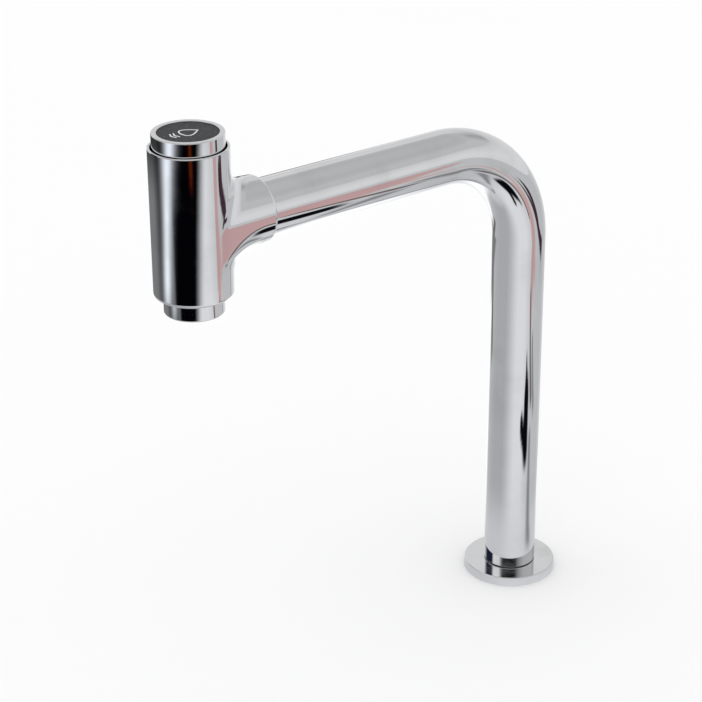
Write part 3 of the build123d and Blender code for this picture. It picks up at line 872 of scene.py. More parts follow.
@dataclass(frozen=True)
class SpoutHead:
    """The head casting: a round pillar with a blended side boss, bored for the tube and the valve."""

    finishes: Finishes
    rim_bevel: float = 0.3 * MM
    bottom_round: float = 2.0 * MM
    rim_wall: float = 1.2 * MM
    rim_edge: float = 0.15 * MM
    rim_inner_edge: float = 0.1 * MM
    rim_steps: int = 5
    root_radius: float = 18.7 * MM
    end_radius: float = 16.6 * MM
    end_round: float = 2.3 * MM
    end_steps: int = 12
    socket_edge: float = 0.03 * MM
    blend: float = 12.0 * MM
    web_blend: float = 6.0 * MM
    web_bend: float = 31.0 * MM
    web_drop: float = 20.0 * MM
    ball_steps: int = 40
    settling: int = 10
    probe: float = 0.001 * MM
    least_reach: float = 1e-9
    play: float = 0.05 * MM
    union_radius: float = 9.05 * MM
    chamber_radius: float = 15.0 * MM
    well_depth: float = 15.0 * MM
    chamber_height: float = 34.0 * MM
    foot_radius: float = 12.0 * MM
    foot_height: float = 6.5 * MM
    passage_radius: float = 10.0 * MM
    outlet_depth: float = 9.0 * MM
    neck_radius: float = 13.45 * MM
    side_rows: int = 24
    wall_rows: int = 48
    blend_rows: int = 16
    boss_rows: int = 32

    def build(self) -> None:
        """Makes the casting from its box and the height of the arm."""
        low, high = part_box("head_body")
        tube_low, tube_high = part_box("spout_tube")
        radius = high.x
        axis_y = low.y + radius
        arm = tube_high.z - tube_high.x
        skin = Skin("head_casting")
        self.boss(skin, radius, axis_y, arm, low.z, high, tube_low.y - axis_y, tube_high.x + self.play)
        well = high.z - self.well_depth
        chamber = well - self.chamber_height
        ledge = low.z + self.outlet_depth
        skin.add_turned(Outline((
            Corner(radius, high.z - self.rim_bevel),
            Corner(radius - self.rim_bevel, high.z, self.rim_edge),
            Corner(radius - self.rim_wall, high.z, self.rim_inner_edge),
            Corner(radius - self.rim_wall, well), Corner(self.chamber_radius, well),
        ), closed=False, arc_steps=self.rim_steps), axis_y)
        skin.add_turned(Outline((
            Corner(self.chamber_radius, chamber), Corner(self.foot_radius, chamber),
            Corner(self.foot_radius, chamber - self.foot_height),
            Corner(self.passage_radius, chamber - self.foot_height), Corner(self.passage_radius, ledge),
            Corner(self.neck_radius, ledge), Corner(self.neck_radius, low.z),
            Corner(radius, low.z, self.bottom_round), Corner(radius, low.z + self.bottom_round),
        ), closed=False), axis_y)
        dress(skin.build(), self.finishes.by_slot[Slot.CHROME], Body.SPOUT, Slot.CHROME, "head_body")

    def loop(self, radius: float, low: float, high: float) -> tuple[Array, Array, Array]:
        """The border of a wall unrolled round its pierced side, as turn, height and bearing.

        Args:
            radius: The wall's radius.
            low: The lowest height, from the hole's axis.
            high: The highest height, from the hole's axis.

        Returns:
            The turn about the upright axis, the height from the hole's axis, and the bearing from
            the hole's axis, which grows by a full turn.
        """
        across = np.linspace(-math.pi, math.pi, COLUMNS + 1)
        down = np.linspace(high, low, self.side_rows + 1)
        turn = np.concatenate([across, np.full(self.side_rows, math.pi), -across[1:],
                               np.full(self.side_rows, -math.pi)])
        height = np.concatenate([np.full(COLUMNS + 1, high), down[1:], np.full(COLUMNS, low), down[::-1][1:]])
        return turn, height, np.unwrap(np.arctan2(radius * turn, height))

    def pierced(self, radius: float, axis_y: float, arm: float, border: tuple[Array, Array],
                hole: tuple[Array, Array]) -> tuple[Array, Array]:
        """A round wall from the edge of its side hole to its border.

        Each column runs straight on the unrolled wall: turn and height go from those at the hole's
        edge to those on the border.

        Args:
            radius: The wall's radius.
            axis_y: Where the upright axis stands.
            arm: The height of the hole's axis.
            border: Turn and height on the border.
            hole: Turn and height on the hole's edge.

        Returns:
            The wall's points, and the unit vectors away from its axis.
        """
        share = np.linspace(0, 1, self.wall_rows + 1)[:, None]
        turn = hole[0] + (border[0] - hole[0]) * share
        height = hole[1] + (border[1] - hole[1]) * share
        return (on_axis(radius, turn, arm + height, axis_y),
                np.stack([np.sin(turn), np.cos(turn), 0 * turn], -1))

    def boss(self, skin: Skin, radius: float, axis_y: float, arm: float, low: float, high: Vector,
             socket: float, socket_radius: float) -> None:
        """Adds the pillar's wall, the blend, the boss, the socket, and the bore into the chamber.

        The boss is a cone about the arm's axis. A ball of the blend's radius rolls between pillar
        and cone: at a bearing its centre lies radius + blend from the pillar's axis and
        cone radius + blend / cos(slope) from the arm's axis, which a short iteration solves.

        Args:
            skin: The casting's surface.
            radius: The pillar's radius.
            axis_y: Where the pillar stands.
            arm: The height of the arm's axis.
            low: The casting's lowest height.
            high: The casting's highest corner.
            socket: The distance of the socket's floor from the pillar's axis.
            socket_radius: The socket's radius.
        """
        length = high.y - axis_y
        slope = (self.root_radius - self.end_radius) / length
        tilt = math.atan(slope)
        far = radius + self.blend
        turn, height, bearing = self.loop(
            radius, low + self.bottom_round - arm, high.z - self.rim_bevel - arm)

        def centre(angle: Array) -> tuple[Array, Array]:
            """The rolling ball's distance along the arm, and its distance from the arm's axis."""
            along = np.full_like(angle, far)
            for _ in range(self.ball_steps):
                away = self.root_radius - slope * along + self.blend / math.cos(tilt)
                along = np.sqrt(far ** 2 - (away * np.sin(angle)) ** 2)
            return along, away

        def place(along: Array, away: Array, angle: Array) -> Array:
            """Points round the arm's axis, from the pillar's axis outwards."""
            return np.stack([away * np.sin(angle), axis_y + along, arm + away * np.cos(angle)], -1)

        def cone(along: Array) -> Array:
            """The boss's radius at a distance along the arm."""
            return self.root_radius - slope * along

        def blended(share: Array, angle: Array) -> Array:
            """The rolling ball's surface, from the cone to the pillar."""
            along, away = centre(angle)
            middle = np.stack([away * np.sin(angle), along, away * np.cos(angle)], -1)
            flat = middle * np.array([1.0, 1.0, 0.0])
            steep = np.stack([np.sin(angle) * math.cos(tilt), np.full_like(angle, math.sin(tilt)),
                              np.cos(angle) * math.cos(tilt)], -1)
            arc = arc_between(-steep, -unit(flat), share[..., None])
            return middle + self.blend * arc + np.array([0, axis_y, arm])

        along, away = centre(bearing)
        edge = (np.arctan2(away * np.sin(bearing), along), away * np.cos(bearing))
        wall = self.pierced(radius, axis_y, arm, (turn, height), edge)[0]
        skin.add_grid(*self.settled(wall, radius, axis_y, arm, length))
        share, angle = np.meshgrid(np.linspace(0, 1, self.blend_rows + 1), bearing, indexing="ij")
        skin.add_grid(*self.settled(blended(share, angle), radius, axis_y, arm, length))

        end = Outline((
            Corner(cone(0.0), 0.0), Corner(cone(length), length, self.end_round),
            Corner(socket_radius, length, self.socket_edge), Corner(socket_radius, socket),
            Corner(self.union_radius, socket),
        ), closed=False, arc_steps=self.end_steps)
        stretches = end.stretches()
        rim = stretches[0][0](np.array(1.0))[1]

        def side(share: Array, angle: Array) -> Array:
            """The cone from the blend's edge to the start of the end's round."""
            begin = centre(angle)[0] - self.blend * math.sin(tilt)
            reach = begin + (rim - begin) * share
            return place(reach, cone(reach), angle)

        share, angle = np.meshgrid(np.linspace(0, 1, self.boss_rows + 1), bearing, indexing="ij")
        skin.add_grid(*self.settled(side(share, angle), radius, axis_y, arm, length))
        for stretch, steps in stretches[1:]:
            skin.add_surface(self.about_arm(stretch, place), np.linspace(0, 1, steps + 1), bearing, flip=True)

        def bore(share: Array, angle: Array) -> Array:
            """The union's bore, from the socket's floor to the chamber's wall."""
            wall = np.sqrt(self.chamber_radius ** 2 - (self.union_radius * np.sin(angle)) ** 2)
            return place(socket + (wall - socket) * share, self.union_radius + 0 * angle, angle)

        well = high.z - self.well_depth
        inner = self.loop(self.chamber_radius, well - self.chamber_height - arm, well - arm)
        skin.add_surface(bore, np.linspace(0, 1, 2), bearing, flip=True)
        mouth = np.sqrt(self.chamber_radius ** 2 - (self.union_radius * np.sin(bearing)) ** 2)
        hole = (np.arctan2(self.union_radius * np.sin(bearing), mouth), self.union_radius * np.cos(bearing))
        wall, away = self.pierced(self.chamber_radius, axis_y, arm, inner[:2], hole)
        skin.add_grid(wall, -away)

    def outside(self, points: Array, radius: float, length: float) -> Array:
        """How far points lie outside the pillar joined with its webbed boss.

        The pillar is a = |(x, y)| - radius. The boss is b = |(x, z - c)| - width(y), where c follows
        z down from 0 to the web's drop, web_bend - sqrt(web_bend^2 - (web_bend - y)^2). They join as
        min(a, b) - max(k - |a - b|, 0)^2 / 4k, with k = g * (1 - the cosine between their slopes), so
        that the blend fades out where the two run into each other. g goes from web_blend below the
        arm to blend above it.

        Args:
            points: Points from the crossing of the pillar's axis and the arm's axis.
            radius: The pillar's radius.
            length: The boss's length from the pillar's axis.

        Returns:
            The distance at each point, below 0 inside.
        """
        x, y, z = points[..., 0], points[..., 1], points[..., 2]
        from_pillar = np.hypot(x, y)
        left = np.clip(self.web_bend - y, 0, self.web_bend)
        drop = np.minimum(self.web_drop, self.web_bend - np.sqrt(self.web_bend ** 2 - left ** 2))
        below = z - np.clip(z, -drop, 0)
        from_arm = np.hypot(x, below)
        width = self.root_radius + (self.end_radius - self.root_radius) * y / length
        pillar = from_pillar - radius
        boss = from_arm - width + np.maximum(-2 * y, 0)
        upper = np.clip(0.5 + z / (2 * width), 0, 1)
        reach = (self.web_blend + (self.blend - self.web_blend) * upper) * (
            1 - x * x / (from_pillar * from_arm)) + self.least_reach
        shared = np.maximum(reach - np.abs(pillar - boss), 0)
        return np.minimum(pillar, boss) - shared ** 2 / (4 * reach)

    def settled(self, points: Array, radius: float, axis_y: float, arm: float,
                length: float) -> tuple[Array, Array]:
        """Moves points along the slope of outside() to where it is 0.

        Args:
            points: Points near the casting's outer skin.
            radius: The pillar's radius.
            axis_y: Where the pillar stands.
            arm: The height of the arm's axis.
            length: The boss's length from the pillar's axis.

        Returns:
            The points on the skin, and its normals there.
        """
        centre = np.array([0, axis_y, arm])
        place = points - centre
        steps = np.eye(3) * self.probe
        for turn in range(self.settling + 1):
            slope = np.stack([
                self.outside(place + step, radius, length) - self.outside(place - step, radius, length)
                for step in steps], -1) / (2 * self.probe)
            if turn < self.settling:
                away = self.outside(place, radius, length) / np.sum(slope * slope, axis=-1)
                place = place - slope * away[..., None]
        return place + centre, unit(slope)

    @staticmethod
    def about_arm(stretch: Stretch, place: Callable[[Array, Array, Array], Array]) -> Surface:
        """The surface that a stretch of (radius, distance) sweeps about the arm's axis."""

        def surface(share: Array, angle: Array) -> Array:
            """Points at a share of the stretch and a bearing about the arm."""
            outline = stretch(share)
            return place(outline[..., 1], outline[..., 0], angle)

        return surface


@dataclass(frozen=True)
class OutletRing:
    """The chrome outlet ring under the head, with its neck and the lip under the aerator."""

    finishes: Finishes
    edge: float = 0.7 * MM
    lip_edge: float = 0.3 * MM
    shoulder_edge: float = 0.2 * MM
    neck: float = 13.4 * MM
    bore: float = 12.05 * MM
    lip: float = 11.0 * MM
    lip_height: float = 1.2 * MM

    def build(self) -> None:
        """Makes the ring from its box."""
        low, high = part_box("outlet_nozzle")
        axis_y = (low.y + high.y) / 2
        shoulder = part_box("nozzle_gasket")[0].z
        skin = Skin("outlet_ring")
        skin.add_turned(Outline((
            Corner(self.lip, low.z, self.lip_edge), Corner(high.x, low.z, self.edge),
            Corner(high.x, shoulder, self.shoulder_edge), Corner(self.neck, shoulder),
            Corner(self.neck, high.z), Corner(self.bore, high.z),
            Corner(self.bore, low.z + self.lip_height),
            Corner(self.lip, low.z + self.lip_height),
        )), axis_y)
        dress(skin.build(), self.finishes.by_slot[Slot.CHROME], Body.SPOUT, Slot.CHROME, "outlet_nozzle")


@dataclass(frozen=True)
class PushButton:
    """The button: a chrome shell with a rounded rim, its dark speckled face and a printed mark."""

    finishes: Finishes
    edge: float = 0.5 * MM
    inner_edge: float = 0.3 * MM
    wall: float = 1.5 * MM
    plate: float = 2.0 * MM
    play: float = 0.05 * MM
    skirt_depth: float = 7.0 * MM
    skirt_edge: float = 0.2 * MM
    hub_radius: float = 5.0 * MM
    hub_bore: float = 2.55 * MM
    bore_depth: float = 0.5 * MM
    face_edge: float = 0.2 * MM
    mark_width: float = 0.68 * MM
    mark_height: float = 0.04 * MM
    drop_height: float = 9.4 * MM
    drop_share: float = 0.62
    drop_lean: float = 1.5
    drop_lift: float = 0.2
    drop_ends: tuple[float, float] = (0.012, 0.988)
    drop_points: int = 97
    chevron_reach: float = 2.8 * MM
    chevron_rise: float = 1.2 * MM
    chevron_soft: float = 0.01
    chevron_places: tuple[float, float] = (-1.55, -1.95)
    chevron_points: int = 33

    def build(self) -> None:
        """Makes the shell, the face and the mark."""
        low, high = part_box("button_cap")
        face_low, face_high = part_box("button_disc")
        axis_y = (low.y + high.y) / 2
        radius, face = high.x, face_high.x
        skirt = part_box("head_body")[1].z - self.skirt_depth
        plate_low = face_low.z - self.plate
        skin = Skin("button_shell")
        skin.add_turned(Outline((
            Corner(0, plate_low + self.bore_depth), Corner(self.hub_bore, plate_low + self.bore_depth),
            Corner(self.hub_bore, low.z), Corner(self.hub_radius, low.z),
            Corner(self.hub_radius, plate_low), Corner(radius - self.wall, plate_low),
            Corner(radius - self.wall, skirt), Corner(radius, skirt, self.skirt_edge),
            Corner(radius, high.z, self.edge), Corner(face + self.play, high.z, self.inner_edge),
            Corner(face + self.play, face_low.z), Corner(0, face_low.z),
        ), closed=False), axis_y)
        dress(skin.build(), self.finishes.by_slot[Slot.CHROME], Body.BUTTON, Slot.CHROME, "button_cap")
        disc = Skin("button_face")
        disc.add_turned(Outline((
            Corner(0, face_low.z), Corner(face, face_low.z), Corner(face, face_high.z, self.face_edge),
            Corner(0, face_high.z),
        ), closed=False), axis_y)
        dress(disc.build(), self.finishes.by_slot[Slot.INSERT], Body.BUTTON, Slot.INSERT, "button_disc")
        self.mark(axis_y, face_high.z)

    def mark(self, axis_y: float, face: float) -> None:
        """The plain printed mark: a drop in outline over two short chevrons.

        Args:
            axis_y: Where the button's axis stands.
            face: The height of the button's face.
        """
        half = self.drop_height / 2

        def drop(share: Array) -> Array:
            """A drop: x = w sin(t) sin(t / 2) ** lean, y = h cos(t) + lift, its point at t = 0."""
            angle = share * FULL_TURN
            lean = np.abs(np.sin(angle / 2)) ** self.drop_lean
            return np.stack([self.drop_share * self.drop_height * np.sin(angle) * lean,
                             half * np.cos(angle) + self.drop_lift * half], -1)

        def chevron(share: Array, place: float) -> Array:
            """A shallow chevron, its point down: y = place + rise * sqrt(s * s + e)."""
            side = 2 * share - 1
            return np.stack([self.chevron_reach * side,
                             place + self.chevron_rise * np.sqrt(side ** 2 + self.chevron_soft)], -1)

        skin = Skin("drop_mark")
        self.ribbon(skin, drop, axis_y, face, np.linspace(*self.drop_ends, self.drop_points))
        for place in self.chevron_places:
            self.ribbon(skin, lambda share, place=place * half: chevron(share, place), axis_y, face,
                        np.linspace(0, 1, self.chevron_points))
        dress(skin.build(), self.finishes.print, Body.BUTTON, Slot.INSERT)

    def ribbon(self, skin: Skin, path: Stretch, axis_y: float, face: float, shares: Array) -> None:
        """Adds a flat printed line along a path, with its top, its foot, its sides and its ends.

        Args:
            skin: The mark's surface.
            path: The line's middle, in the button's own plane.
            axis_y: Where the button's axis stands.
            face: The height that it lies on.
            shares: The shares of the path where it has points.
        """
        top = face + self.mark_height

        def line(share: Array, across: Array, height: Array) -> Array:
            """Points beside the path, by a share of half the line's width."""
            ahead = unit(path(share + SLOPE_STEP) - path(share - SLOPE_STEP))
            side = np.stack([-ahead[..., 1], ahead[..., 0]], -1)
            flat = path(share) + side * (across * self.mark_width / 2)[..., None]
            return np.stack([flat[..., 0], axis_y + flat[..., 1], height + 0 * share], -1)

        pair = np.array([-1.0, 1.0])
        skin.add_surface(lambda s, a: line(s, a, top), shares, pair)
        skin.add_surface(lambda s, a: line(s, a, face), shares, pair, flip=True)
        for side in (-1.0, 1.0):
            skin.add_surface(lambda s, h, side=side: line(s, side + 0 * h, h), shares,
                             np.array([face, top]), flip=side > 0)
        for end, flip in ((shares[0], True), (shares[-1], False)):
            skin.add_surface(lambda a, h, end=end: line(end + 0 * a, a, h), pair,
                             np.array([face, top]), flip=flip)


def dress_nodes(finishes: Finishes) -> None:
    """Gives every carried-over CAD node the material of its slot.

    Args:
        finishes: The materials.
    """
    slots = {row["node"]: Slot(row["material_slot"]) for row in frame["record"]["subparts"]}
    for name, node in frame["nodes"].items():
        if node.hide_render:
            continue
        node.data.materials.clear()
        node.data.materials.append(finishes.by_slot[slots[name]])
        LOG.info("%s keeps its mesh, in %s", name, slots[name].value)


# The studio


@dataclass(frozen=True)
class PhotoCamera:
    """The camera at the photograph's angle, from a fit of the camera alone to the tap's outline.

    The fit held the picture's centre and the tap's chosen sizes, so it isn't what sized the tap.
    """

    azimuth: float = 52.606
    elevation: float = 25.217
    roll: float = -0.317
    focal: float = 2161.975
    frame_side: float = 702.0
    sensor: float = 36.0
    distance: float = 1.216169
    right_share: float = 0.0730
    down_share: float = 0.0980
    clip_start: float = 0.05

    def axes(self) -> tuple[Vector, Vector, Vector]:
        """Unit vectors to the camera's right, up, and from the tap back to the camera."""
        turn, rise, roll = (math.radians(x) for x in (self.azimuth, self.elevation, self.roll))
        back = Vector((math.sin(turn) * math.cos(rise), -math.cos(turn) * math.cos(rise), math.sin(rise)))
        level = Vector((math.cos(turn), math.sin(turn), 0))
        upright = back.cross(level)
        right = level * math.cos(roll) + upright * math.sin(roll)
        return right, back.cross(right), back

    def build(self) -> None:
        """Makes the camera. The tap's origin lies at the given shares of the distance."""
        right, up, back = self.axes()
        data = bpy.data.cameras.new("photo_camera")
        data.sensor_width = self.sensor
        data.lens = self.focal * self.sensor / self.frame_side
        data.clip_start = self.clip_start
        camera = bpy.data.objects.new("photo_camera", data)
        bpy.context.scene.collection.objects.link(camera)
        place = (back - right * self.right_share + up * self.down_share) * self.distance
        turned = Matrix((right, up, back)).transposed().to_4x4()
        camera.matrix_world = Matrix.Translation(place) @ turned
        bpy.context.scene.camera = camera


@dataclass(frozen=True)
class Studio:
    """The plain pale floor, the soft light, and what the chrome sees in it."""

    camera: PhotoCamera
    white: float = 1.14
    floor_colour: Colour = (0.93, 0.93, 0.93)
    floor_shade: float = 0.995
    floor_hole: float = 0.0135
    floor_rings: tuple[float, ...] = (0.05, 0.4, 2.0, 8.0)
    floor_columns: int = 96
    cool: float = 1.005
    tones: tuple[tuple[float, float], ...] = (
        (-90, 0.50), (-60, 0.52), (-40, 0.58), (-25, 0.62), (-10, 0.76), (8, 0.80), (22, 0.70),
        (34, 0.58), (48, 0.52), (60, 0.57), (90, 0.66),
    )
    room_height: float = 30.8
    room_half: float = 5.0
    room_soft: float = 5.0
    room: tuple[tuple[float, Colour], ...] = (
        (-180, (0.76, 0.76, 0.76)), (-157, (0.88, 0.90, 0.90)), (-128, (0.012, 0.018, 0.040)),
        (-90, (0.012, 0.018, 0.040)), (-80, (1.0, 1.0, 1.0)), (-52, (1.0, 1.0, 1.0)),
        (-38, (0.12, 0.13, 0.15)), (-28, (0.02, 0.02, 0.02)), (8, (0.001, 0.001, 0.001)),
        (24, (0.014, 0.018, 0.022)), (38, (0.30, 0.30, 0.30)), (51, (0.45, 0.45, 0.46)),
        (66, (0.58, 0.58, 0.58)), (120, (0.60, 0.60, 0.60)), (140, (0.42, 0.42, 0.43)),
        (165, (0.72, 0.72, 0.72)), (180, (0.76, 0.76, 0.76)),
    )

    def build(self) -> None:
        """Makes the floor, the surroundings and the deck that the chrome mirrors."""
        self.colours()
        self.surroundings()
        self.floor()
        MirroredDeck(self.camera).build()

    @staticmethod
    def colours() -> None:
        """Shows colours as they are, without a film look."""
        view = bpy.context.scene.view_settings
        view.view_transform = "Standard"
        view.look = "None"
        view.exposure = 0.0
        view.gamma = 1.0

    def surroundings(self) -> None:
        """The world: plain white to the eye and to the floor, and a toned room to the chrome."""
        world = bpy.data.worlds.new("studio")
        bpy.context.scene.world = world
        world.use_nodes = True
        tree = world.node_tree
        tree.nodes.clear()
        direction = tree.nodes.new("ShaderNodeTexCoord").outputs["Generated"]
        turn = math.radians(self.camera.azimuth)
        right = self.dot(tree, direction, (math.cos(turn), math.sin(turn), 0))
        back = self.dot(tree, direction, (math.sin(turn), -math.cos(turn), 0))
        bearing = maths(tree, "DEGREES", maths(tree, "ARCTAN2", right, back))
        rise = maths(tree, "DEGREES", maths(tree, "ARCSINE", self.dot(tree, direction, (0, 0, 1))))
        height = self.ramp(tree, rise, 180, tuple((a, (t, t, t * self.cool)) for a, t in self.tones))
        round_it = self.ramp(tree, bearing, 360, self.room)
        apart = maths(tree, "ABSOLUTE", maths(tree, "SUBTRACT", rise, self.room_height))
        mask = ranged(tree, apart, self.room_half, self.room_half + self.room_soft, 1.0, 0.0)
        both = wire(tree, "ShaderNodeMix", {"data_type": "RGBA"}, {0: mask, 6: height, 7: round_it})
        colour = both.outputs[2]
        toned = wire(tree, "ShaderNodeBackground", inputs={0: colour}).outputs[0]
        plain = wire(tree, "ShaderNodeBackground", inputs={0: (1, 1, 1, 1), 1: self.white}).outputs[0]
        path = tree.nodes.new("ShaderNodeLightPath")
        seen = maths(tree, "MAXIMUM", path.outputs["Is Camera Ray"], path.outputs["Is Diffuse Ray"])
        both = wire(tree, "ShaderNodeMixShader", inputs={0: seen, 1: toned, 2: plain})
        wire(tree, "ShaderNodeOutputWorld", inputs={0: both.outputs[0]})

    @staticmethod
    def dot(tree: bpy.types.NodeTree, direction: bpy.types.NodeSocket, axis: Colour) -> bpy.types.NodeSocket:
        """How far a direction points along an axis."""
        return wire(tree, "ShaderNodeVectorMath", {"operation": "DOT_PRODUCT"},
                    {0: direction, 1: axis}).outputs["Value"]

    @staticmethod
    def ramp(tree: bpy.types.NodeTree, angle: bpy.types.NodeSocket, span: float,
             stops: tuple[tuple[float, Colour], ...]) -> bpy.types.NodeSocket:
        """Colours by an angle in degrees, over a span centred on 0. Returns the colour.

        Args:
            tree: The world's node tree.
            angle: The angle.
            span: The whole span in degrees.
            stops: Angles with their colours, in order.
        """
        share = maths(tree, "MULTIPLY_ADD", angle, 1 / span, 0.5)
        node = wire(tree, "ShaderNodeValToRGB", inputs={0: share})
        made = node.color_ramp.elements
        while len(made) < len(stops):
            made.new(0.5)
        for stop, (place, colour) in zip(made, stops):
            stop.position = place / span + 0.5
            stop.color = (*colour, 1)
        return node.outputs[0]

    def floor(self) -> None:
        """The deck that the flange stands on, a pale sheet with a hole for the shank."""
        tree, shader = start_material("pale_deck", {"Specular IOR Level": 0.0, "Roughness": 1.0})
        tone = use(tree, Effects.clouds(), Size=0.4, Low=0.2, High=0.9)
        darker = tuple(self.floor_shade * x for x in self.floor_colour)
        tree.links.new(mixed_colour(tree, tone, self.floor_colour, darker), shader.inputs["Base Color"])
        skin = Skin("deck_sheet")
        steps = np.array([self.floor_hole, *self.floor_rings])
        skin.add_surface(lambda reach, turn: on_axis(reach, turn, 0 * reach, 0.0), steps,
                         np.linspace(-math.pi, math.pi, self.floor_columns + 1), flip=True)
        sheet = skin.build()
        sheet.data.materials.append(bpy.data.materials["pale_deck"])
        sheet.visible_glossy = False


def soft_step(value: Array, start: float | Array, end: float | Array) -> Array:
    """0 before start, 1 after end, and 3t^2 - 2t^3 between them."""
    share = np.clip((value - start) / (end - start), 0, 1)
    return share * share * (3 - 2 * share)


def laid_over(colour: Array, mask: Array, tone: Colour | Array) -> Array:
    """The colours with a tone laid over them by a mask from 0 to 1."""
    return colour + (np.asarray(tone) - colour) * mask[..., None]


@dataclass(frozen=True)
class Stroke:
    """A soft-edged stroke on the deck whose half width goes from first to last on its way."""

    start: tuple[float, float]
    end: tuple[float, float]
    first: float
    last: float
    soft: float
    colour: Colour

    def mask(self, x: Array, y: Array) -> Array:
        """1 inside the stroke, 0 outside, and a smooth step between them at its edge."""
        way = np.array(self.end) - np.array(self.start)
        from_start = np.stack([x - self.start[0], y - self.start[1]], -1)
        share = np.clip(from_start @ way / (way @ way), 0, 1)
        apart = np.linalg.norm(from_start - share[..., None] * way, axis=-1)
        half = self.first + (self.last - self.first) * share
        return 1 - soft_step(apart, half - self.soft / 2, half + self.soft / 2)


@dataclass(frozen=True)
class MirroredDeck:
    """The deck as the chrome mirrors it: a glowing sheet in the deck's plane that only reflections see.

    Most of the photograph's reflections from below the arm fit one flat plane, though not all. This
    plane carries soft strokes that were set to give like bands from the photograph's angle,
    and boards round the head by bearing from its axis. The real room isn't known.
    """

    camera: PhotoCamera
    reach: float = 3.4
    knee: float = 0.35
    steps: int = 300
    tint: Colour = (0.985, 1.0, 1.02)
    board: tuple[tuple[float, float], ...] = (
        (-180, 0.95), (-140, 0.60), (-110, 0.50), (-90, 0.47), (-50, 0.47), (-34, 0.56), (-14, 0.74),
        (0, 0.84), (30, 0.84), (50, 0.72), (75, 0.60), (120, 0.58), (160, 0.75), (180, 0.95),
    )
    near_tone: Colour = (0.72, 0.73, 0.75)
    near_share: float = 0.7
    near_ring: tuple[float, float] = (0.05, 0.12)
    strokes: tuple[Stroke, ...] = (
        Stroke((-0.08, 0.06), (-0.36, 0.08), 0.05, 0.07, 0.05, (1.2, 1.2, 1.2)),
        Stroke((-0.30, -0.07), (-0.60, -0.02), 0.03, 0.06, 0.05, (0.12, 0.125, 0.11)),
        # The next stroke is a painted shadow: the tap's own shadow, a grey streak running out from the foot.
        Stroke((0.04, 0.03), (0.14, 0.10), 0.010, 0.016, 0.02, (0.28, 0.28, 0.295)),
        Stroke((0.14, 0.17), (0.26, 0.185), 0.015, 0.015, 0.02, (0.26, 0.26, 0.26)),
        Stroke((0.295, 0.14), (0.42, 0.185), 0.004, 0.06, 0.02, (0.64, 0.42, 0.41)),
        Stroke((0.36, 0.25), (0.44, 0.24), 0.025, 0.04, 0.03, (0.64, 0.42, 0.41)),
        Stroke((0.44, 0.20), (1.10, 0.66), 0.055, 0.14, 0.03, (0.60, 0.39, 0.39)),
        Stroke((0.19, 0.135), (0.38, 0.13), 0.016, 0.016, 0.015, (0.17, 0.13, 0.13)),
        Stroke((0.14, 0.465), (0.44, 0.43), 0.03, 0.05, 0.02, (0.055, 0.026, 0.038)),
        Stroke((0.36, 0.47), (0.54, 0.68), 0.05, 0.07, 0.03, (0.06, 0.03, 0.045)),
        Stroke((0.225, 0.055), (0.29, 0.05), 0.035, 0.010, 0.02, (0.03, 0.03, 0.035)),
        Stroke((0.165, 0.04), (0.225, 0.055), 0.033, 0.040, 0.02, (0.003, 0.003, 0.005)),
        Stroke((0.175, 0.02), (0.195, -0.02), 0.02, 0.02, 0.015, (0.003, 0.003, 0.005)),
    )
    boards_start: tuple[float, float] = (0.42, 0.47)
    grey: float = 0.22
    grey_loss: float = 0.16
    grey_turn: tuple[float, float] = (-122, -88)
    grey_fade: float = 0.85
    grey_fade_span: tuple[float, float] = (0.70, 0.87)
    black: Colour = (0.001, 0.001, 0.002)
    black_turn: tuple[float, float] = (-62, -44)
    black_edge: float = 22.5
    black_lean: float = 60
    black_lean_from: float = 0.56
    black_soft: float = 15
    white: Colour = (1.03, 1.08, 1.17)
    white_bearing: float = -76
    white_lean: float = 55
    white_lean_from: float = 0.5
    white_lean_span: tuple[float, float] = (0.4, 0.95)
    white_width: float = 13
    white_spread: float = 30
    white_spread_from: float = 0.68
    white_spread_reach: float = 0.2
    white_start: tuple[float, float] = (0.43, 0.57)
    ember: Colour = (0.10, 0.014, 0.003)
    ember_bearing: float = 8
    ember_width: float = 4.5
    ember_start: tuple[float, float] = (0.73, 0.79)
    ember_end: tuple[float, float] = (0.92, 1.0)

    def build(self) -> None:
        """Makes the sheet. Its grid is fine near the tap: place = knee * sinh(u)."""
        end = math.asinh(self.reach / self.knee)
        line = self.knee * np.sinh(np.linspace(-end, end, self.steps))
        x, y = np.meshgrid(line, line, indexing="ij")
        skin = Skin("mirrored_deck")
        points = np.stack([x, y, 0 * x], -1)
        skin.add_grid(points, np.broadcast_to([0.0, 0.0, 1.0], points.shape))
        sheet = skin.build()
        place = np.empty(3 * len(sheet.data.vertices), np.float32)
        sheet.data.vertices.foreach_get("co", place)
        place = place.reshape(-1, 3).astype(float)
        tone = sheet.data.color_attributes.new("tone", "FLOAT_COLOR", "POINT")
        colours = np.ones((len(place), 4), np.float32)
        colours[:, :3] = self.colours(place[:, 0], place[:, 1])
        tone.data.foreach_set("color", colours.ravel())
        sheet.data.materials.append(self.glow())
        sheet.visible_camera = False
        sheet.visible_diffuse = False
        sheet.visible_shadow = False
        sheet.visible_transmission = False

    @staticmethod
    def glow() -> bpy.types.Material:
        """The sheet's material: light of the colour at each of its points."""
        material = bpy.data.materials.new("deck_glow")
        material.use_nodes = True
        tree = material.node_tree
        tree.nodes.clear()
        source = wire(tree, "ShaderNodeAttribute", {"attribute_name": "tone"})
        light = wire(tree, "ShaderNodeEmission", inputs={0: source.outputs["Color"]})
        wire(tree, "ShaderNodeOutputMaterial", inputs={0: light.outputs[0]})
        return material

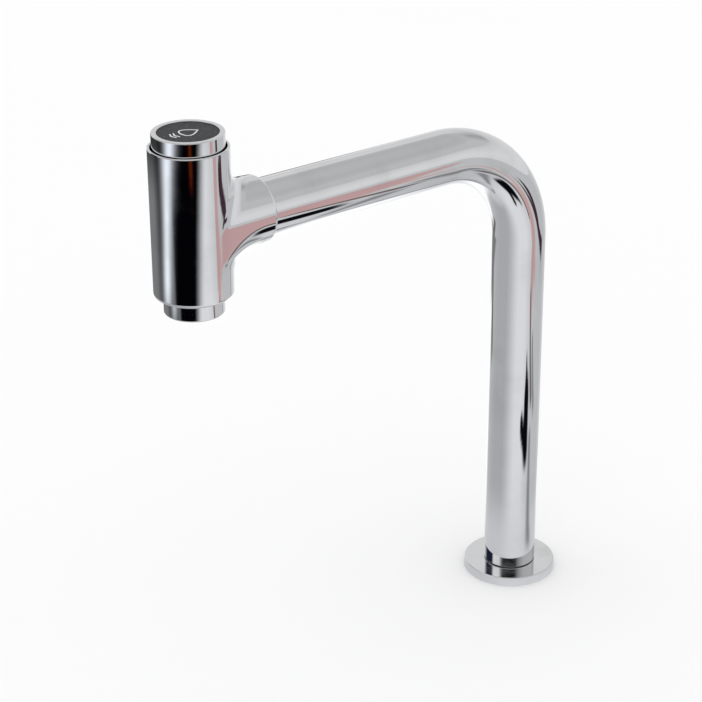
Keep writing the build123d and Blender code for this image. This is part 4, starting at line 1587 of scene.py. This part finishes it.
    def bearing(self, x: Array, y: Array, axis_y: float) -> tuple[Array, Array]:
        """Bearing and distance from an upright axis, with 0 degrees towards the camera.

        Args:
            x: Places on the deck.
            y: Places on the deck.
            axis_y: Where the axis stands.

        Returns:
            The bearing, which grows to the camera's right, and the distance.
        """
        turn = math.radians(self.camera.azimuth)
        back = x * math.sin(turn) - (y - axis_y) * math.cos(turn)
        right = x * math.cos(turn) + (y - axis_y) * math.sin(turn)
        return np.degrees(np.arctan2(right, back)), np.hypot(x, y - axis_y)

    def colours(self, x: Array, y: Array) -> Array:
        """The deck's colours: the plain board, a paler ring at the foot, strokes and the boards."""
        around, reach = self.bearing(x, y, 0.0)
        angles, tones = zip(*self.board)
        colour = np.interp(around, angles, tones)[..., None] * np.array(self.tint)
        near = self.near_share * (1 - soft_step(reach, *self.near_ring))
        colour = laid_over(colour, near, self.near_tone)
        for stroke in self.strokes:
            colour = laid_over(colour, stroke.mask(x, y), stroke.colour)
        return self.boards(x, y, colour)

    def boards(self, x: Array, y: Array, colour: Array) -> Array:
        """Lays the boards round the head over the deck: grey, a white strip, black and an ember.

        Args:
            x: Places on the deck.
            y: Places on the deck.
            colour: The colours so far.

        Returns:
            The colours with the boards.
        """
        head_low, head_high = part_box("head_body")
        around, reach = self.bearing(x, y, head_low.y + head_high.x)
        far = soft_step(reach, *self.boards_start)
        turned = soft_step(around, *self.black_turn)
        grey = (self.grey - self.grey_loss * soft_step(around, *self.grey_turn)) * (
            1 - self.grey_fade * soft_step(reach, *self.grey_fade_span))
        colour = laid_over(colour, far * (1 - turned), grey[..., None] * np.array(self.tint))
        edge = self.black_edge + self.black_lean * (np.clip(reach, 0, 1) - self.black_lean_from)
        dark = turned * (1 - soft_step(around, edge - self.black_soft, edge + self.black_soft))
        colour = laid_over(colour, far * dark, self.black)
        lean = np.clip(reach, *self.white_lean_span) - self.white_lean_from
        middle = self.white_bearing + self.white_lean * lean
        spread = np.clip(reach - self.white_spread_from, 0, self.white_spread_reach)
        width = self.white_width + self.white_spread * spread
        strip = np.exp(-((around - middle) / width) ** 2) * soft_step(reach, *self.white_start)
        colour = laid_over(colour, strip, self.white)
        span = soft_step(reach, *self.ember_start) * (1 - soft_step(reach, *self.ember_end))
        ember = np.exp(-((around - self.ember_bearing) / self.ember_width) ** 2)
        return laid_over(colour, ember * span, self.ember)


def main() -> None:
    """Builds the tap's pieces in order, then the studio."""
    logging.basicConfig(level=logging.INFO, format="%(name)s: %(message)s")
    finishes = Finishes()
    Base(finishes).build()
    SpoutTube(finishes).build()
    SpoutHead(finishes).build()
    OutletRing(finishes).build()
    PushButton(finishes).build()
    dress_nodes(finishes)
    camera = PhotoCamera()
    camera.build()
    Studio(camera).build()


if __name__ == "__main__":
    main()
